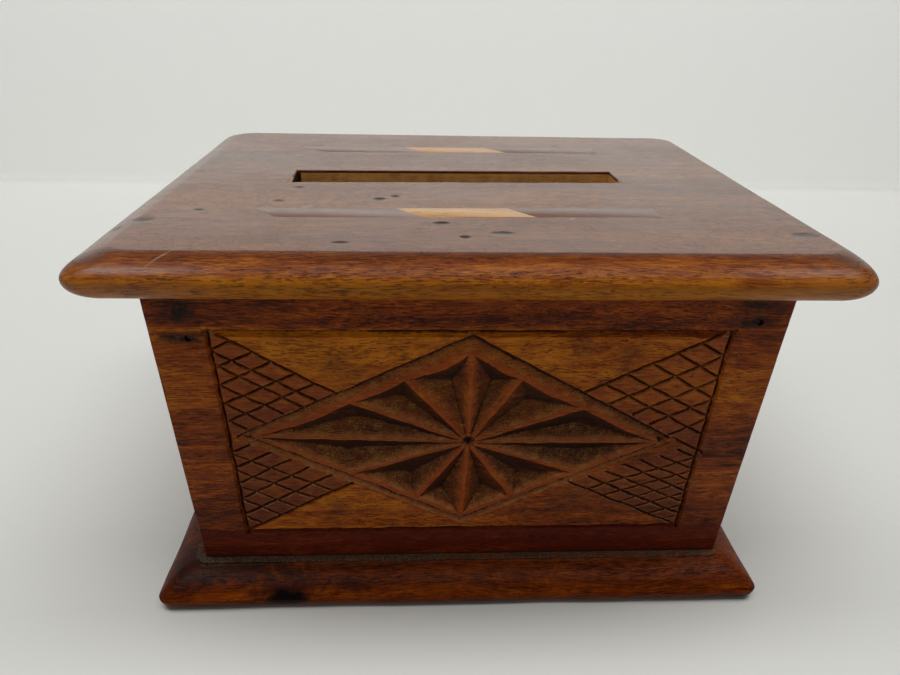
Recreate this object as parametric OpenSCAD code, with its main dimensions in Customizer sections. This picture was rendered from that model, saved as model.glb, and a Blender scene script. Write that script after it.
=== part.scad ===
// Wooden money box: a splayed box of four mitred boards under a fixed lid with a coin slot,
// on a moulded plinth. The front is chip carved, the lid is inlaid, and a bevelled slide in
// the underside lets the money out. Origin: centre of the underside, +Z up, front to -Y.

/* [Lid] */
// Width of the lid, left to right
lid_w = 150; // [140:1:170]
// Depth of the lid, front to back
lid_d = 125; // [115:1:145]
// Thickness of the lid
lid_t = 8; // [7:0.5:10]
// How far the rounded edge runs in over the top
edge_over = 7; // [4:0.5:9]
// The same at the right end, which is rounded less
edge_over_right = 4; // [3:0.5:9]
// How far the rounded edge runs in underneath
edge_under = 4.2; // [2:0.2:6]
// Height of the widest line of the edge, from the underside
edge_belly = 3.8; // [2.5:0.1:5]
// Rounding of the lid's corners in plan
lid_corner_r = 5; // [1:0.5:8]

/* [Coin slot and inlay] */
// Length of the coin slot
slot_l = 83; // [60:1:90]
// Width of the coin slot
slot_w = 11.6; // [8:0.2:14]
// Angle by which slot and inlay were set out askew
layout_skew = 1.5; // [0:0.1:3]
// Place of the slot's centre across the lid
layout_x = -1.2; // [-3:0.1:3]
// Place of the slot's centre along the lid's depth
layout_y = 1; // [-3:0.1:3]
// Distance of each inlaid strip from the slot
strip_offset = 32; // [25:0.5:40]
// Width of an inlaid strip
strip_w = 6.6; // [4:0.2:10]
// Length of an inlaid strip
strip_l = 85; // [70:1:90]
// Length of the light piece in the middle of a strip
light_l = 24.5; // [15:0.5:35]
// How far the slanting joints of a strip lean along it
strip_slant = 5.5; // [0:0.5:8]
// Thickness of the inlaid pieces
inlay_t = 1; // [0.6:0.1:1.5]

/* [Body] */
// Height of the four boards
body_h = 72; // [60:1:90]
// Width of the body under the lid
top_w = 129.5; // [120:0.5:140]
// How much wider the body is on each side at the top than at the foot
splay = 2.4; // [0:0.2:6]
// Depth of the body under the lid
top_d = 104.5; // [95:0.5:115]
// Thickness of the boards, measured level
wall_t = 6.5; // [5:0.5:8]

/* [Carved front] */
// Width of the plain wood outside the border line
border_side = 11.4; // [8:0.2:15]
// Height of the lower border line
border_low = 8.4; // [6:0.2:12]
// Height of the upper border line
border_high = 62; // [55:0.5:65]
// Width of the border line
border_w = 1.3; // [0.8:0.1:2]
// Depth of the border line
border_depth = 0.9; // [0.4:0.1:1.5]
// Height of the star's centre
star_up = 33.9; // [30:0.1:38]
// Depth of the star's chips
chip_depth = 2.2; // [1:0.1:3]
// Width of the ridges left between the chips
ridge_w = 0.8; // [0.4:0.1:1.5]
// Depth of the groove round the star
moat_depth = 1.3; // [0.6:0.1:2]
// Width of the hatching lines
hatch_w = 0.8; // [0.4:0.1:1.2]
// Depth of the hatching lines
hatch_depth = 0.5; // [0.2:0.1:0.8]

/* [Plinth] */
// Width of the plinth
plinth_w = 143; // [135:1:160]
// How far the plinth sits to the right of the middle of the box
plinth_shift = -0.5; // [-1:0.1:1]
// Thickness of the plinth
plinth_t = 8; // [7:0.5:10]
// Width of the level ledge round the foot of the body
ledge = 1.8; // [1:0.1:3]
// Height of the widest line of the plinth's edge
plinth_belly = 3; // [1.5:0.1:4]
// How far the plinth's edge rounds in underneath
plinth_under = 2.4; // [1:0.2:5]
// Rounding of the plinth's corners in plan
plinth_corner_r = 3; // [0.5:0.5:5]

/* [Money slide] */
// Width of the slide at its underside
slide_w = 72; // [60:1:78]
// Thickness of the slide
slide_t = 3.6; // [3:0.1:4]
// Height of the slide above the surface that the box stands on
slide_lift = 0.4; // [0.3:0.1:0.6]
// How far each long edge of the slide is bevelled out
slide_bevel = 2.4; // [1:0.1:3]
// Running gap round the slide
slide_gap = 0.3; // [0.2:0.05:0.4]
// Width of the money hole above the slide
hole_w = 64; // [50:1:66]
// Length of the money hole above the slide
hole_l = 56; // [40:1:60]

/* [Blocks and fixings] */
// Leg of the triangular corner blocks
corner_leg = 10; // [8:0.5:12]
// Leg of the triangular blocks under the lid
lid_leg = 8; // [6:0.5:10]
// Diameter of the wood screws
screw_d = 2.6; // [2:0.1:3]
// Diameter of the screws' heads
screw_head_d = 5; // [4:0.1:6]
// Length of the wood screws
screw_l = 16; // [13:0.5:18]
// Diameter of the panel pins
pin_d = 1.2; // [1:0.1:1.6]
// Length of the panel pins
pin_l = 12; // [10:0.5:13]
// How far the pins are punched below the face
pin_sunk = 0.6; // [0.2:0.1:1]

/* [Hidden] */
$fn = 48;
lean = atan(splay / body_h);
foot_w = top_w - 2 * splay;
foot_d = top_d - 2 * splay;
plinth_d = foot_d + plinth_w - foot_w;
lid_z = plinth_t + body_h;
mitre = (foot_w - foot_d) / 2;
far = 100;
hole_play = 0.05;
screw_z = 0.5;
head_h = (screw_head_d - screw_d) / 2;
pin_angle = 10;
groove_top = slide_lift + slide_t + slide_gap;
slide_front = -hole_l / 2 - 8;
slide_half = slide_w / 2;

// Set-out of the carving, measured from the middle of the panel's foot
star = [-0.2, star_up];
crest = [for (p = [[0, 23.3], [42.6, -0.3], [-1.1, -21.9], [-46.9, 1.9]]) star + p];
rim = [for (p = [[0, 27.4], [46.7, 0.4], [-0.9, -24.4], [-51.2, 1.9]]) star + p];
ridge_split = [0.26, 0.57];
frame_corner = [for (p = [[-1, border_high], [1, border_high], [1, border_low], [-1, border_low]])
    [p[0] * (foot_w / 2 + p[1] * sin(lean) - border_side), p[1]]];
pin_spots = [[-56.8, 60.2], [58.3, 63.9]];

dark_wood = "#6b3a1c";
carved_wood = "#7c431d";
lid_wood = "#8a5433";
light_inlay = "#d9ab68";
dark_inlay = "#6d5f56";
block_wood = "#c9a777";
steel = "#77736d";

function mix(a, b, t) = a + (b - a) * t;
function half_w(z) = foot_w / 2 + (z - plinth_t) * splay / body_h;
function half_d(z) = foot_d / 2 + (z - plinth_t) * splay / body_h;

// ---------- boards with a moulded edge ----------

// Quarter of an ellipse from the top flat to the widest line, then back in underneath
function lid_edge(half, over) = concat(
    [for (a = [90:-9:0]) [half - over * (1 - cos(a)), edge_belly + (lid_t - edge_belly) * sin(a)]],
    [for (a = [-15:-15:-90]) [half - edge_under * (1 - cos(a)), edge_belly * (1 + sin(a))]]);

// Ledge, small step, a gently bulging slope and a rounded lower edge
function plinth_edge(half, body) = let (
        start = [body + ledge, plinth_t - 0.5],
        belly = [half, plinth_belly],
        swell = [mix(body + ledge, half, 0.72), mix(plinth_t, plinth_belly, 0.35)])
    concat([[body + ledge, plinth_t]],
        [for (t = [0:0.125:1]) mix(mix(start, swell, t), mix(swell, belly, t), t)],
        [for (a = [18:18:90]) [half - plinth_under * (1 - cos(a)), plinth_belly * (1 - sin(a))]]);

function both_sides(right, left) = concat(right, [for (i = [len(left) - 1:-1:0]) [-left[i].x, left[i].y]]);

module rounded_plan(w, d, r) {
    square([w - 2 * r, d], center = true);
    square([w, d - 2 * r], center = true);
    for (x = [-1, 1], y = [-1, 1]) translate([x * (w / 2 - r), y * (d / 2 - r)]) circle(r);
}

module moulded_board(w, d, t, r, right, left, edge_y) intersection() {
    rotate([90, 0, 0]) linear_extrude(2 * far, center = true) polygon(both_sides(right, left));
    rotate([90, 0, 90]) linear_extrude(2 * far, center = true) polygon(both_sides(edge_y, edge_y));
    linear_extrude(t) rounded_plan(w, d, r);
}

// ---------- lid and inlay ----------

module set_out() translate([layout_x, layout_y, lid_z]) rotate([0, 0, layout_skew]) children();

// Shift of each strip along its length: the back one sits a little to the right
function strip_shift(side) = side < 0 ? -0.7 : 1.8;

// A strip between two joints: a is its left end and b its right, each with its own slant
module strip_piece(side, a, b, slant_a, slant_b)
    translate([strip_shift(side), side * strip_offset, lid_t - inlay_t]) linear_extrude(inlay_t)
        polygon([[a - slant_a / 2, strip_w / 2], [b - slant_b / 2, strip_w / 2],
            [b + slant_b / 2, -strip_w / 2], [a + slant_a / 2, -strip_w / 2]]);

module inlay_left(side) color(dark_inlay)
    set_out() strip_piece(side, -strip_l / 2, -light_l / 2, strip_slant, strip_slant);

module inlay_centre(side) color(light_inlay)
    set_out() strip_piece(side, -light_l / 2, light_l / 2, strip_slant, strip_slant);

module inlay_right(side) color(dark_inlay)
    set_out() strip_piece(side, light_l / 2, strip_l / 2, strip_slant, 0);

module lid_board() color(lid_wood) difference() {
    translate([0, 0, lid_z])
        moulded_board(lid_w, lid_d, lid_t, lid_corner_r, lid_edge(lid_w / 2, edge_over_right),
            lid_edge(lid_w / 2, edge_over), lid_edge(lid_d / 2, edge_over));
    set_out() {
        translate([-slot_l / 2, -slot_w / 2, -1]) cube([slot_l, slot_w, lid_t + 2]);
        for (side = [-1, 1]) {
            strip_piece(side, -strip_l / 2, strip_l / 2, strip_slant, 0);
            translate([0, 0, 0.5]) strip_piece(side, -strip_l / 2, strip_l / 2, strip_slant, 0);
        }
    }
}

// ---------- body ----------

// The splayed body as a solid, drawn in by inset, between two heights
module splayed(inset, z0, z1) intersection() {
    rotate([90, 0, 0]) linear_extrude(2 * far, center = true)
        polygon([[half_w(z0) - inset, z0], [half_w(z1) - inset, z1],
            [inset - half_w(z1), z1], [inset - half_w(z0), z0]]);
    rotate([90, 0, 90]) linear_extrude(2 * far, center = true)
        polygon([[half_d(z0) - inset, z0], [half_d(z1) - inset, z1],
            [inset - half_d(z1), z1], [inset - half_d(z0), z0]]);
}

module hollow_body() difference() {
    splayed(0, plinth_t, lid_z);
    splayed(wall_t, plinth_t - 1, lid_z + 1);
    screw_holes();
}

// Front or back board, mitred at both ends: side is -1 for the front and 1 for the back
module long_board(side) intersection() {
    hollow_body();
    linear_extrude(far) polygon([[-mitre, 0], [mitre, 0], [mitre + far, side * far],
        [-mitre - far, side * far]]);
}

// End board, mitred at both ends: side is -1 for the left and 1 for the right
module end_board(side) intersection() {
    hollow_body();
    linear_extrude(far) polygon([[side * mitre, 0], [side * (mitre + far), far],
        [side * (mitre + far), -far]]);
}

// The face of a long board: X across, Y up the board, Z outwards
module on_face(side) rotate([0, 0, side < 0 ? 0 : 180])
    translate([0, -foot_d / 2, plinth_t]) rotate([90 + lean, 0, 0]) children();

// ---------- carving ----------

// Straight V-shaped cut from a to b
module v_cut(a, b, width, depth) {
    run = b - a;
    over = 1.4;
    translate([a.x, a.y, 0]) rotate([0, 0, atan2(run.y, run.x)]) rotate([90, 0, 90])
        linear_extrude(norm(run))
            polygon([[0, -depth], [width / 2 * over, depth * (over - 1)],
                [-width / 2 * over, depth * (over - 1)]]);
}

// Three-cut chip: a triangle in the face with its slopes falling to one deepest point
module chip(tri, low, depth) {
    over = 1.2;
    top = [for (p = tri) let (q = low + (p - low) * over) [q.x, q.y, depth * (over - 1)]];
    polyhedron(concat(top, [[low.x, low.y, -depth]]), [[2, 1, 0], [0, 1, 3], [1, 2, 3], [2, 0, 3]]);
}

// The triangle drawn in by the same amount on each side
function drawn_in(tri, by) = let (
        a = norm(tri[1] - tri[2]), b = norm(tri[2] - tri[0]), c = norm(tri[0] - tri[1]),
        middle = (tri[0] * a + tri[1] * b + tri[2] * c) / (a + b + c),
        area = abs(cross(tri[1] - tri[0], tri[2] - tri[0])) / 2,
        keep = 1 - by * (a + b + c) / (2 * area))
    [for (p = tri) middle + (p - middle) * keep];

// The twelve ends of the ridges, clockwise from the top, just inside the crest
ring = [for (k = [0:3], j = [0:2]) let (
        split = k % 2 == 0 ? ridge_split : [1 - ridge_split[1], 1 - ridge_split[0]],
        p = j == 0 ? crest[k] : mix(crest[k], crest[(k + 1) % 4], split[j - 1]))
    mix(star, p, 0.975)];

module star_chips() for (i = [0:11]) {
    a = ring[i];
    b = ring[(i + 1) % 12];
    chip(drawn_in([star, b, a], ridge_w / 2), mix((a + b) / 2, star, 0.2), chip_depth);
}

// Groove between the rim and the crest, deepest half way
module moat() for (k = [0:3]) {
    n = (k + 1) % 4;
    inner_a = mix(rim[k], crest[k], 0.8);
    inner_b = mix(rim[n], crest[n], 0.8);
    over = 1.2;
    low_a = (rim[k] + inner_a) / 2;
    low_b = (rim[n] + inner_b) / 2;
    top = [for (pair = [[rim[k], low_a], [rim[n], low_b], [inner_b, low_b], [inner_a, low_a]])
        let (q = pair[1] + (pair[0] - pair[1]) * over) [q.x, q.y, moat_depth * (over - 1)]];
    polyhedron(concat(top, [[low_a.x, low_a.y, -moat_depth], [low_b.x, low_b.y, -moat_depth]]),
        [[0, 1, 2], [0, 2, 3], [1, 0, 4], [1, 4, 5], [3, 2, 5], [3, 5, 4], [0, 3, 4], [2, 1, 5]]);
}

module border() for (k = [0:3]) v_cut(frame_corner[k], frame_corner[(k + 1) % 4], border_w, border_depth);

// Crossed lines in the triangle between a frame corner, the star's rim and the frame's side
module hatching(corner, side_mid, tip, count) for (k = [0:count - 1]) {
    t = k / count;
    v_cut(mix(corner, tip, t), mix(side_mid, tip, t), hatch_w, hatch_depth);
    if (k > 0) v_cut(mix(corner, side_mid, t), mix(corner, tip, t), hatch_w, hatch_depth);
}

module all_hatching() {
    left_tip = rim[3] - [0.6, 0];
    right_high = mix(rim[0], rim[1], 1.12);
    right_low = right_high + [0, 1.6];
    hatching(frame_corner[0], mix(rim[0], rim[3], 0.5), left_tip, 6);
    hatching(frame_corner[3], mix(rim[2], rim[3], 0.5), left_tip, 6);
    hatching(frame_corner[1], mix(rim[0], rim[1], 0.54), right_high, 6);
    hatching(frame_corner[2], mix(rim[2], rim[1], 0.54), right_low, 7);
}

// ---------- boards of the body ----------

module front_panel() color(carved_wood) difference() {
    long_board(-1);
    on_face(-1) {
        border();
        moat();
        star_chips();
        all_hatching();
    }
    pin_holes(-1);
}

module back_panel() color(dark_wood) difference() {
    long_board(1);
    pin_holes(1);
}

module left_panel() color(dark_wood) end_board(-1);

module right_panel() color(dark_wood) end_board(1);

// ---------- blocks glued into the angles ----------

// Triangular block standing in a corner and leaning out with it
module corner_block(x_side, y_side) color(block_wood) difference() {
    mirror([x_side < 0 ? 1 : 0, 0, 0]) mirror([0, y_side < 0 ? 1 : 0, 0]) intersection() {
        splayed(wall_t, plinth_t + 2, lid_z - 3);
        translate([half_w(plinth_t) - wall_t, half_d(plinth_t) - wall_t, plinth_t])
            rotate([0, 0, 45]) rotate([0, atan(splay / body_h * sqrt(2)), 0])
                translate([-corner_leg / sqrt(2), -far / 2, -far / 2]) cube([far, far, 2 * far]);
    }
    pin_holes(y_side);
}

// Triangular block under the lid, along a wall whose inner face is at reach
module lid_block(length, reach) linear_extrude(length, center = true)
    polygon([[reach + 2, lid_z], [reach - lid_leg, lid_z], [reach + 2, lid_z - lid_leg - 2]]);

module lid_block_long(side) color(block_wood) intersection() {
    splayed(wall_t, plinth_t, lid_z);
    rotate([0, 0, side * 90]) rotate([90, 0, 0]) lid_block(60, half_d(lid_z) - wall_t);
}

module lid_block_end(side) color(block_wood) intersection() {
    splayed(wall_t, plinth_t, lid_z);
    rotate([0, 0, side < 0 ? 180 : 0]) rotate([90, 0, 0]) lid_block(40, half_w(lid_z) - wall_t);
}

// ---------- plinth and money slide ----------

module plinth_blank() let (end = plinth_edge(plinth_w / 2, foot_w / 2))
    translate([plinth_shift, 0, 0]) moulded_board(plinth_w, plinth_d, plinth_t, plinth_corner_r,
        end, end, plinth_edge(plinth_d / 2, foot_d / 2));

// Dovetail section, wider above, that holds the slide up in the plinth
module dovetail(z0, z1, gap) {
    function half(z) = slide_half - gap + slide_bevel * (z - slide_lift) / slide_t;
    rotate([90, 0, 180]) translate([0, 0, slide_front + gap]) linear_extrude(far)
        polygon([[half(z0), z0], [half(z1), z1], [-half(z1), z1], [-half(z0), z0]]);
}

module plinth_board() color(dark_wood) difference() {
    plinth_blank();
    dovetail(-1, groove_top, 0);
    translate([-hole_w / 2, -hole_l / 2, 0]) cube([hole_w, hole_l, plinth_t + 1]);
    screw_holes();
    for (p = screw_spots) translate([p.x, p.y, -1]) cylinder(d = screw_head_d + 0.2, h = 1 + screw_z);
    for (p = screw_spots) translate([p.x, p.y, screw_z])
        cylinder(d1 = screw_head_d + 0.2, d2 = screw_d + 2 * hole_play, h = head_h);
}

module money_slide() color(dark_wood) difference() {
    intersection() {
        plinth_blank();
        dovetail(slide_lift, slide_lift + slide_t, slide_gap);
    }
    translate([0, plinth_d / 2 - 14, slide_lift - 8]) rotate([0, 90, 0])
        cylinder(r = 9.2, h = 22, center = true);
}

// ---------- screws and pins ----------

// Two under the front board, two under the back board outside the slide, one under each end
screw_spots = let (x = (foot_w - wall_t) / 2, y = (foot_d - wall_t) / 2)
    [[-40, -y], [40, -y], [-50, y], [50, y], [-x, 0], [x, 0]];

module screw_holes() for (p = screw_spots) translate([p.x, p.y, -1])
    cylinder(d = screw_d + 2 * hole_play, h = screw_z + screw_l + 1.5);

module wood_screw() difference() {
    rotate_extrude() polygon([[0, 0], [screw_head_d / 2, 0], [screw_d / 2, head_h],
        [screw_d / 2, screw_l - 3], [0, screw_l]]);
    translate([-screw_head_d, -0.35, -1]) cube([2 * screw_head_d, 0.7, 1.7]);
}

module plinth_screws() color(steel)
    for (p = screw_spots) translate([p.x, p.y, screw_z]) wood_screw();

// Line of each pin: driven inwards, away from the arris, into the corner block
module on_pins(side) on_face(side) for (p = pin_spots)
    translate([p.x, p.y, 0]) rotate([0, p.x < 0 ? -pin_angle : pin_angle, 0]) children();

module pin_holes(side) on_pins(side)
    translate([0, 0, -pin_l - pin_sunk - 0.2]) cylinder(d = pin_d + 2 * hole_play, h = far / 2);

module panel_pins() color(steel) for (side = [-1, 1])
    on_pins(side) translate([0, 0, -pin_l - pin_sunk]) cylinder(d = pin_d, h = pin_l);

lid_board();
inlay_left(-1);  // inlay_front_left
inlay_centre(-1);  // inlay_front_centre
inlay_right(-1);  // inlay_front_right
inlay_left(1);  // inlay_back_left
inlay_centre(1);  // inlay_back_centre
inlay_right(1);  // inlay_back_right
front_panel();
back_panel();
left_panel();
right_panel();
corner_block(-1, -1);  // corner_block_front_left
corner_block(1, -1);  // corner_block_front_right
corner_block(-1, 1);  // corner_block_back_left
corner_block(1, 1);  // corner_block_back_right
lid_block_long(-1);  // lid_block_front
lid_block_long(1);  // lid_block_back
lid_block_end(-1);  // lid_block_left
lid_block_end(1);  // lid_block_right
plinth_board();
money_slide();
panel_pins();
plinth_screws();
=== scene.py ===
import math
import bmesh
import bpy
import numpy as np
from mathutils import Matrix, Vector
from mathutils.geometry import delaunay_2d_cdt


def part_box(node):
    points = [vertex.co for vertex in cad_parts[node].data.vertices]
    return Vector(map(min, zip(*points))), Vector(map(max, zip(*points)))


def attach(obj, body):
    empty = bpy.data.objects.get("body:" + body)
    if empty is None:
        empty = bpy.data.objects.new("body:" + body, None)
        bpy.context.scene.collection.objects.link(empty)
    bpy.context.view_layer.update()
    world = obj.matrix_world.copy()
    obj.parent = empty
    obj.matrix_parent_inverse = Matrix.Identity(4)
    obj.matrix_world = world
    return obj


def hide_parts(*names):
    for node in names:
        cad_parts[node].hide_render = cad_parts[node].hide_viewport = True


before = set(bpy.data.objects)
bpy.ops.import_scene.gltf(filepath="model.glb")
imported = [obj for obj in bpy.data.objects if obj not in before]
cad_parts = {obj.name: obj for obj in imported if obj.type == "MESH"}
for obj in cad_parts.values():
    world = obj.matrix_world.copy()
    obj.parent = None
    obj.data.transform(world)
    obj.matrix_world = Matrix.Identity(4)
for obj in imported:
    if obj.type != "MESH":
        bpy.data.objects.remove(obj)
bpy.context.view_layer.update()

# ---------------------------------------------------------------------------------------
# Plinth: one hardwood board with a moulded edge, a ledge round the foot of the box, and a
# dovetailed channel and a hole in its underside for the money slide. Screwed up from below.
# ---------------------------------------------------------------------------------------
MM = 0.001
plinth_low, plinth_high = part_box("plinth_board")
body_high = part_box("back_panel")[1]
splay = 2.4
ledge = 1.8
plinth_belly = 3.0
plinth_under = 2.4
plinth_corner = 3.0
ring_step = 0.8
fine_gap = 0.4
plinth_top = plinth_high.z / MM
lid_under = body_high.z / MM
body_top_x = body_high.x / MM
body_top_y = body_high.y / MM
body_foot_x = body_top_x - splay
body_foot_y = body_top_y - splay
body_tall = lid_under - plinth_top


def ripple(points, wavelength, seed):
    """A smooth random value, about -1 to 1, at each row of points, as work by hand leaves."""
    rng = np.random.default_rng(seed)
    total = np.zeros(len(points))
    for _ in range(7):
        heading = rng.normal(size=points.shape[1])
        heading *= 2 * math.pi / (wavelength * rng.uniform(0.7, 1.4) * np.linalg.norm(heading))
        total += np.sin(points @ heading + rng.uniform(0, 2 * math.pi))
    return total / 2.6


def rounded_outline(half_x, half_y, radius, counts, corner_steps=9):
    """Points round a rectangle with rounded corners, anticlockwise. The counts are the steps
    along its X and Y sides."""
    arcs = []
    for turn, (x_side, y_side) in enumerate(((1, 1), (-1, 1), (-1, -1), (1, -1))):
        angles = np.linspace(turn, turn + 1, corner_steps + 1) * math.pi / 2
        middle = (x_side * (half_x - radius), y_side * (half_y - radius))
        arcs.append(middle + radius * np.stack([np.cos(angles), np.sin(angles)], 1))
    points = []
    for k, arc in enumerate(arcs):
        shares = np.linspace(0, 1, counts[k % 2] + 1)[1:-1, None]
        points += [arc, arc[-1] + (arcs[(k + 1) % 4][0] - arc[-1]) * shares]
    return np.vstack(points)


def fill_flat(outline, step, seed, spots=()):
    """Triangles over an outline, as (points, triangles). Points are scattered inside it, and
    closer together on the spots, each given as (x, y, radius)."""
    rng = np.random.default_rng(seed)
    low, high = outline.min(0), outline.max(0)
    sets = []
    areas = [(*(low + high) / 2, max(high - low), step)] + [(*spot, fine_gap) for spot in spots]
    for x, y, reach, gap in areas:
        side = np.arange(-reach, reach, gap)
        grid = np.array(np.meshgrid(side + x, side + y)).reshape(2, -1).T
        grid = grid + rng.uniform(-0.2, 0.2, grid.shape) * gap
        for spot in spots if gap == step else ():
            grid = grid[np.linalg.norm(grid - spot[:2], axis=1) > spot[2]]
        if gap != step:
            grid = grid[np.linalg.norm(grid - (x, y), axis=1) < reach]
        sets.append(grid)
    inner = np.vstack(sets)
    following = np.roll(outline, -1, axis=0) - outline
    normal = np.stack([-following[:, 1], following[:, 0]], 1)
    normal /= np.linalg.norm(normal, axis=1)[:, None]
    clear = ((inner[:, None, :] - outline[None]) * normal[None]).sum(2).min(1) > step * 0.4
    points = np.vstack([outline, inner[clear]])
    edges = [(k, (k + 1) % len(outline)) for k in range(len(outline))]
    made = delaunay_2d_cdt([Vector(p) for p in points], edges, [], 1, 1e-7)
    return np.array([tuple(v) for v in made[0]]), made[2]


def moulded_blank(half_x, half_y, radius, profile, spots=()):
    """A board with a moulding run round it. The profile is (inset, height) from top to under,
    and the spots are the places on top that need more points."""
    counts = (round(half_x / ring_step), round(half_y / ring_step))
    rings = [rounded_outline(half_x - inset, half_y - inset, radius, counts) for inset, _ in profile]
    work = bmesh.new()
    rows = [[work.verts.new((*p, z)) for p in ring] for ring, (_, z) in zip(rings, profile)]
    for upper, lower in zip(rows, rows[1:]):
        for k in range(len(upper)):
            n = (k + 1) % len(upper)
            work.faces.new((upper[k], lower[k], lower[n], upper[n]))
    for ring, height, marks in ((rings[0], profile[0][1], spots), (rings[-1], profile[-1][1], ())):
        points, triangles = fill_flat(ring, 2.2, 5, marks)
        cap = [work.verts.new((*p, height)) for p in points]
        for tri in triangles:
            work.faces.new([cap[i] for i in tri])
    bmesh.ops.remove_doubles(work, verts=work.verts, dist=1e-4)
    bmesh.ops.recalc_face_normals(work, faces=work.faces)
    return work


def to_object(name, work):
    """Turns a worked mesh in millimetres into an object in metres."""
    mesh = bpy.data.meshes.new(name)
    work.to_mesh(mesh)
    work.free()
    mesh.transform(Matrix.Scale(MM, 4))
    made = bpy.data.objects.new(name, mesh)
    bpy.context.scene.collection.objects.link(made)
    return made


def settle(piece):
    """Works a piece's modifiers into its mesh."""
    made = piece.evaluated_get(bpy.context.evaluated_depsgraph_get())
    plain = bpy.data.meshes.new_from_object(made)
    piece.modifiers.clear()
    piece.data = plain


def cut_away(piece, cutters, operation="DIFFERENCE"):
    """Takes the cutters out of a piece, one after another, and leaves a plain mesh."""
    for cutter in cutters:
        cut = piece.modifiers.new("cut", "BOOLEAN")
        cut.operation = operation
        cut.solver = "EXACT"
        cut.object = cutter
    settle(piece)
    for cutter in cutters:
        bpy.data.objects.remove(cutter)


def smooth_faces(piece, crease=32):
    """Shades a piece smooth, with every edge above the crease angle kept crisp."""
    piece.data.shade_smooth()
    piece.data.set_sharp_from_angle(angle=math.radians(crease))


def prism(name, outline, low, high, turn=None):
    """A straight-sided block on an outline of (x, y) points."""
    work = bmesh.new()
    under = [work.verts.new((x, y, low)) for x, y in outline]
    above = [work.verts.new((x, y, high)) for x, y in outline]
    work.faces.new(under[::-1])
    work.faces.new(above)
    for k in range(len(outline)):
        n = (k + 1) % len(outline)
        work.faces.new((under[k], under[n], above[n], above[k]))
    if turn is not None:
        work.transform(turn)
    bmesh.ops.recalc_face_normals(work, faces=work.faces)
    return to_object(name, work)


def finished(piece, node, body, material):
    """Gives a piece its finish, and hands it to the frame in place of its CAD node."""
    piece.data.materials.clear()
    piece.data.materials.append(material)
    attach(piece, body)
    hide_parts(*([node] if isinstance(node, str) else node))


class Amount:
    """A number that varies over a surface. Sums and products of amounts add Math nodes."""

    def __init__(self, finish, socket):
        self.finish = finish
        self.socket = socket

    def __add__(self, other):
        return self.finish.math("ADD", self, other)

    def __sub__(self, other):
        return self.finish.math("SUBTRACT", self, other)

    def __rsub__(self, other):
        return self.finish.math("SUBTRACT", other, self)

    def __mul__(self, other):
        return self.finish.math("MULTIPLY", self, other)

    __radd__ = __add__
    __rmul__ = __mul__


class Finish:
    """A material being mixed, node by node. Its colour is the mixture so far."""

    def __init__(self, name, kind="materials"):
        self.material = getattr(bpy.data, kind).new(name)
        self.material.use_nodes = True
        self.tree = self.material.node_tree
        self.tree.nodes.clear()
        self.colour = None

    def node(self, kind, settings=None, sockets=None, output=0, stops=None):
        """Adds a node: its settings first, then the values or links of its sockets."""
        made = self.tree.nodes.new("ShaderNode" + kind)
        for key, value in (settings or {}).items():
            setattr(made, key, value)
        if stops:
            ramp = made.color_ramp.elements
            while len(ramp) < len(stops):
                ramp.new(0.5)
            for element, (place, colour) in zip(ramp, stops):
                element.position = place
                element.color = colour
        for key, value in (sockets or {}).items():
            if isinstance(value, Amount):
                self.tree.links.new(value.socket, made.inputs[key])
            else:
                made.inputs[key].default_value = value
        return None if output is None else Amount(self, made.outputs[output])

    def math(self, operation, *values):
        return self.node("Math", {"operation": operation}, dict(enumerate(values)))

    def vector(self, operation, *values, output=0):
        return self.node("VectorMath", {"operation": operation}, dict(enumerate(values)), output)

    def clip(self, value):
        return self.node("Math", {"operation": "ADD", "use_clamp": True}, {0: value, 1: 0.0})

    def between(self, value, low, high):
        """0 where the value is at low, 1 where it is at high, and smooth between."""
        settings = {"interpolation_type": "SMOOTHSTEP"}
        sockets = {"Value": value, "From Min": low, "From Max": high}
        return self.node("MapRange", settings, sockets)

    def cloud(self, place, scale, detail=2.0, rough=0.5):
        sockets = {"Vector": place, "Scale": scale, "Detail": detail, "Roughness": rough}
        return self.node("TexNoise", None, sockets)

    def tint(self, under, over, amount):
        return self.node("Mix", {"data_type": "RGBA"}, {0: amount, 6: under, 7: over}, 2)

    def wash(self, code, amount):
        """Lays a #rrggbb paint over the colour so far."""
        self.colour = self.tint(self.colour, paint(code), amount)

    def place(self):
        """Where a point of the piece lies, in mm."""
        return self.vector("MULTIPLY", self.node("TexCoord", None, None, 3), (1000, 1000, 1000))

    def part(self, place, axis):
        return self.node("SeparateXYZ", None, {0: place}, "XYZ".index(axis))

    def close(self, roughness, height, relief, coat=0.0, coat_roughness=0.3, metallic=0.0, specular=0.5):
        """Joins the colour so far, gloss and relief into the shader that the piece wears."""
        bump = {"Strength": 1.0, "Distance": relief, "Height": height}
        sockets = {
            "Base Color": self.colour,
            "Roughness": roughness,
            "Metallic": metallic,
            "Coat Weight": coat,
            "Coat Roughness": coat_roughness,
            "Specular IOR Level": specular,
            "Normal": self.node("Bump", None, bump),
        }
        shader = self.node("BsdfPrincipled", None, sockets)
        self.node("OutputMaterial", None, {0: shader}, None)
        return self.material


def paint(code):
    """A linear colour from a #rrggbb code."""
    shares = [int(code[k:k + 2], 16) / 255 for k in (1, 3, 5)]
    return (*[s / 12.92 if s <= 0.04045 else ((s + 0.055) / 1.055) ** 2.4 for s in shares], 1.0)


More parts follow.
